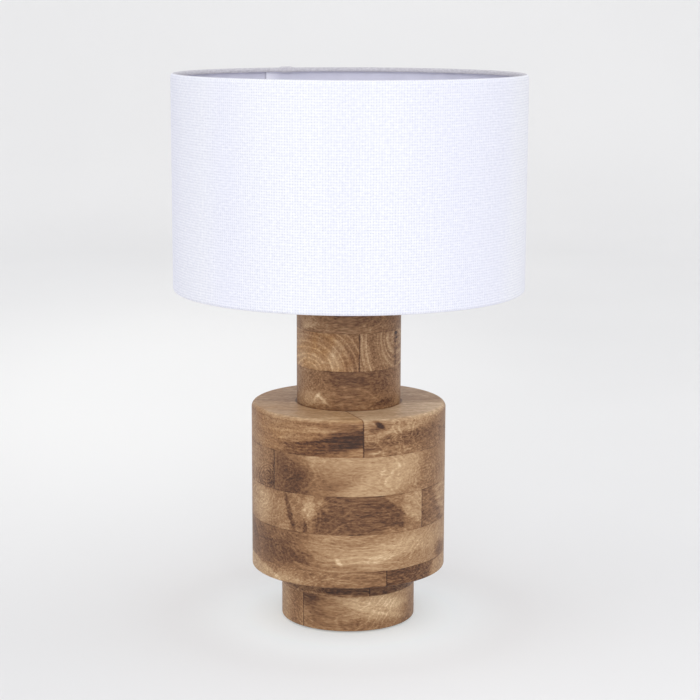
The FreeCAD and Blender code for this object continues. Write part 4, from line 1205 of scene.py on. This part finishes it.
# Finishes of the solids that stay from the CAD model, and the solids that have them.
HARDWARE = [
    (dict(name="zinc_steel", dark=(150, 151, 150), light=(182, 183, 180), rough=(0.38, 0.26),
          scale=400, metallic=1.0),
     ["threaded_tube", "bottom_washer", "bottom_nut", "check_ring", "top_nut", "terminal_screws"]),
    (dict(name="white_plastic", dark=(226, 226, 222), light=(236, 236, 232), rough=(0.42, 0.34),
          scale=250),
     ["cord_bushing", "holder_cap", "holder_skirt", "support_ring", "retaining_ring",
      "bulb_collar", "bulb_led_board"]),
    (dict(name="cream_insulator", dark=(208, 202, 184), light=(222, 216, 198), rough=(0.6, 0.5),
          scale=300),
     ["holder_core"]),
    (dict(name="brass", dark=(196, 160, 88), light=(216, 182, 110), rough=(0.34, 0.22), scale=300,
          metallic=1.0),
     ["screw_shell", "holder_contact"]),
    (dict(name="nickel_cap", dark=(182, 180, 172), light=(204, 202, 194), rough=(0.3, 0.2),
          scale=300, metallic=1.0),
     ["bulb_screw_cap", "bulb_contact"]),
    (dict(name="black_insulator", dark=(22, 22, 24), light=(36, 36, 38), rough=(0.3, 0.2), scale=300),
     ["bulb_insulator"]),
    (dict(name="opal_glass", dark=(236, 236, 230), light=(244, 244, 240), rough=(0.3, 0.22),
          scale=80, coat=0.3),
     ["bulb_globe"]),
]


def dress(names, material):
    """Puts a finish on solids of the CAD model."""
    for name in names:
        mesh = nodes[name].data
        mesh.materials.clear()
        mesh.materials.append(material)


def dress_hardware(enamel):
    """Gives each solid that stays from the CAD model its finish."""
    dress(["fitter_plate"], enamel)
    for finish, names in HARDWARE:
        dress(names, plain_finish(**finish))


def felt_material():
    """Dark wool felt, fuzzy and a little clumped."""
    material, make, shader = new_material("pressed_felt")
    place = object_place(make)
    fuzz = make.noise(place, 1400.0, 4.0, 0.7)
    clumps = make.noise(place, 160.0, 3.0, 0.6)
    both = make.plus(make.times(fuzz, 0.6), make.times(clumps, 0.4))
    colour = make.ramp(both, [(0.3, tone(36, 32, 29)), (0.7, tone(74, 67, 60))])
    make.feed(shader.inputs["Base Color"], colour)
    shader.inputs["Roughness"].default_value = 0.95
    shader.inputs["Sheen Weight"].default_value = 0.3
    make.feed(shader.inputs["Normal"], make.bump(fuzz, 0.6, 0.3 * MM))
    return material


def build_felt():
    """The felt disc under the foot, with its edges rubbed off."""
    low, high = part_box("felt_pad")
    radius = high.x
    profile = [(FELT_EDGE, low.z), (radius - FELT_EDGE, low.z), (radius, low.z + FELT_EDGE),
               (radius, high.z - FELT_EDGE), (radius - FELT_EDGE, high.z), (FELT_EDGE, high.z)]
    work = turned_mesh(profile, FELT_SEGMENTS)
    bmesh.ops.remove_doubles(work, verts=work.verts, dist=1e-6)
    piece = finished("foot_felt", work, felt_material(), "base", ["felt_pad"])


# ---------------------------------------------------------------- stage, light and camera
# The camera's place and turn were solved from the photograph, which is 700 pixels wide.
CAMERA_BACK = 1896.0 * MM
CAMERA_RISE = 617.4 * MM
CAMERA_SIDE = 1.2 * MM
CAMERA_DOWN = 10.302
CAMERA_ROLL = 0.202
FOCAL_PIXELS = 1918.0
FRAME_PIXELS = 700.0
SENSOR = 36.0
CAMERA_NEAR = 0.05
CAMERA_FAR = 50.0

KEY_PLACE = (-0.04, -3.3, 1.5)
KEY_AIM = (0.0, 0.0, 0.40)
KEY_SIZE = 1.8
KEY_POWER = 24.0
SKY_STRENGTH = 1.05

# The sweep: a floor that bends up into a backdrop behind the lamp, in metres.
SWEEP_HALF_WIDTH = 30.0
SWEEP_FRONT = -30.0
SWEEP_BACK = 3.0
SWEEP_BEND = 1.5
SWEEP_STEPS = 24
SWEEP_TOP = 7.0
# A painted glow of the floor round the foot, standing in for light that the white room throws back, fading
# out between these radii.
FLOOR_GLOW = 0.26
FLOOR_GLOW_FROM = 0.055
FLOOR_GLOW_TO = 0.19


def build_camera():
    """The photograph's camera, a little higher than the lamp and looking down on it."""
    data = bpy.data.cameras.new("camera")
    data.sensor_width = SENSOR
    data.lens = FOCAL_PIXELS / FRAME_PIXELS * SENSOR
    data.clip_start = CAMERA_NEAR
    data.clip_end = CAMERA_FAR
    camera = link(bpy.data.objects.new("camera", data))
    turn = Matrix.Rotation(math.radians(90.0 - CAMERA_DOWN), 4, "X")
    roll = Matrix.Rotation(math.radians(CAMERA_ROLL), 4, "Z")
    place = Matrix.Translation((CAMERA_SIDE, -CAMERA_BACK, WOOD_BOTTOM + CAMERA_RISE))
    camera.matrix_world = place @ turn @ roll
    bpy.context.scene.camera = camera


def backdrop_material():
    """Pale paper with painted light: darker near the front on the left, brighter towards the back, a
    painted pool of light low on the left behind the lamp, and a painted glow round the foot.
    """
    material, make, shader = new_material("backdrop_paper")
    place = object_place(make)
    x, y, z = make.split(place)
    mottle = make.noise(place, 1.1, 2.0)

    def paper_tone(dark, light):
        return make.ramp(mottle, [(0.35, tone(*dark)), (0.65, tone(*light))])

    # Painted light: the near floor is darker on the left than on the right, and the paper grows lighter
    # towards the back.
    left = paper_tone((226, 226, 227), (230, 230, 231))
    right = paper_tone((232, 232, 233), (236, 236, 237))
    near = make.mix(make.step(x, -0.35, 0.12), left, right)
    back = paper_tone((232, 232, 233), (235, 235, 236))
    paper = make.mix(make.step(y, 0.2, 2.2), near, back)
    # A painted pool of light low on the left behind the lamp.
    across = make.over(make.plus(x, 0.30), 0.50)
    depth = make.over(make.minus(y, 1.2), 1.0)
    bright = make.step(make.length(across, depth, z), 0.2, 1.6, 1.0, 0.0)
    make.feed(shader.inputs["Base Color"], make.mix(bright, paper, tone(246, 246, 246)))
    shader.inputs["Roughness"].default_value = 0.9
    shader.inputs["Specular IOR Level"].default_value = 0.1
    # A painted glow round the foot: the floor emits light there though it is no lamp.
    near_foot = make.step(make.length(x, y), FLOOR_GLOW_FROM, FLOOR_GLOW_TO, 1.0, 0.0)
    glow = make.times(near_foot, make.step(z, 0.0, 0.1, 1.0, 0.0))
    shader.inputs["Emission Color"].default_value = (0.84, 0.97, 1.0, 1.0)
    make.feed(shader.inputs["Emission Strength"], make.times(glow, FLOOR_GLOW))
    return material


def build_stage():
    """A floor that sweeps up into a pale backdrop far behind the lamp."""
    work = bmesh.new()
    path = [(SWEEP_FRONT, 0.0), (SWEEP_BACK, 0.0)]
    for step in range(1, SWEEP_STEPS + 1):
        angle = math.pi / 2 * step / SWEEP_STEPS
        path.append((SWEEP_BACK + SWEEP_BEND * math.sin(angle), SWEEP_BEND - SWEEP_BEND * math.cos(angle)))
    path.append((SWEEP_BACK + SWEEP_BEND, SWEEP_TOP))
    rows = []
    for back, rise in path:
        rows.append([work.verts.new((side, back, rise)) for side in (-SWEEP_HALF_WIDTH, SWEEP_HALF_WIDTH)])
    for low, high in zip(rows, rows[1:]):
        face = work.faces.new((low[0], low[1], high[1], high[0]))
        face.smooth = True
    sweep = made("studio_sweep", work)
    sweep.data.materials.append(backdrop_material())


def build_light():
    """A white room, and one soft lamp in front of the object."""
    world = bpy.data.worlds.new("studio")
    world.use_nodes = True
    bpy.context.scene.world = world
    background = world.node_tree.nodes["Background"]
    background.inputs["Color"].default_value = (1.0, 1.0, 1.0, 1.0)
    background.inputs["Strength"].default_value = SKY_STRENGTH
    data = bpy.data.lights.new("key", "AREA")
    data.shape = "RECTANGLE"
    data.size = KEY_SIZE
    data.size_y = KEY_SIZE
    data.energy = KEY_POWER
    lamp = link(bpy.data.objects.new("key", data))
    away = Vector(KEY_PLACE) - Vector(KEY_AIM)
    turn = away.to_track_quat("Z", "Y").to_matrix().to_4x4()
    lamp.matrix_world = Matrix.Translation(KEY_PLACE) @ turn


build_column()
build_cloth()
build_liner()
dress_hardware(build_wires())
build_felt()
build_stage()
build_light()
build_camera()
bpy.context.scene.view_settings.view_transform = "Standard"
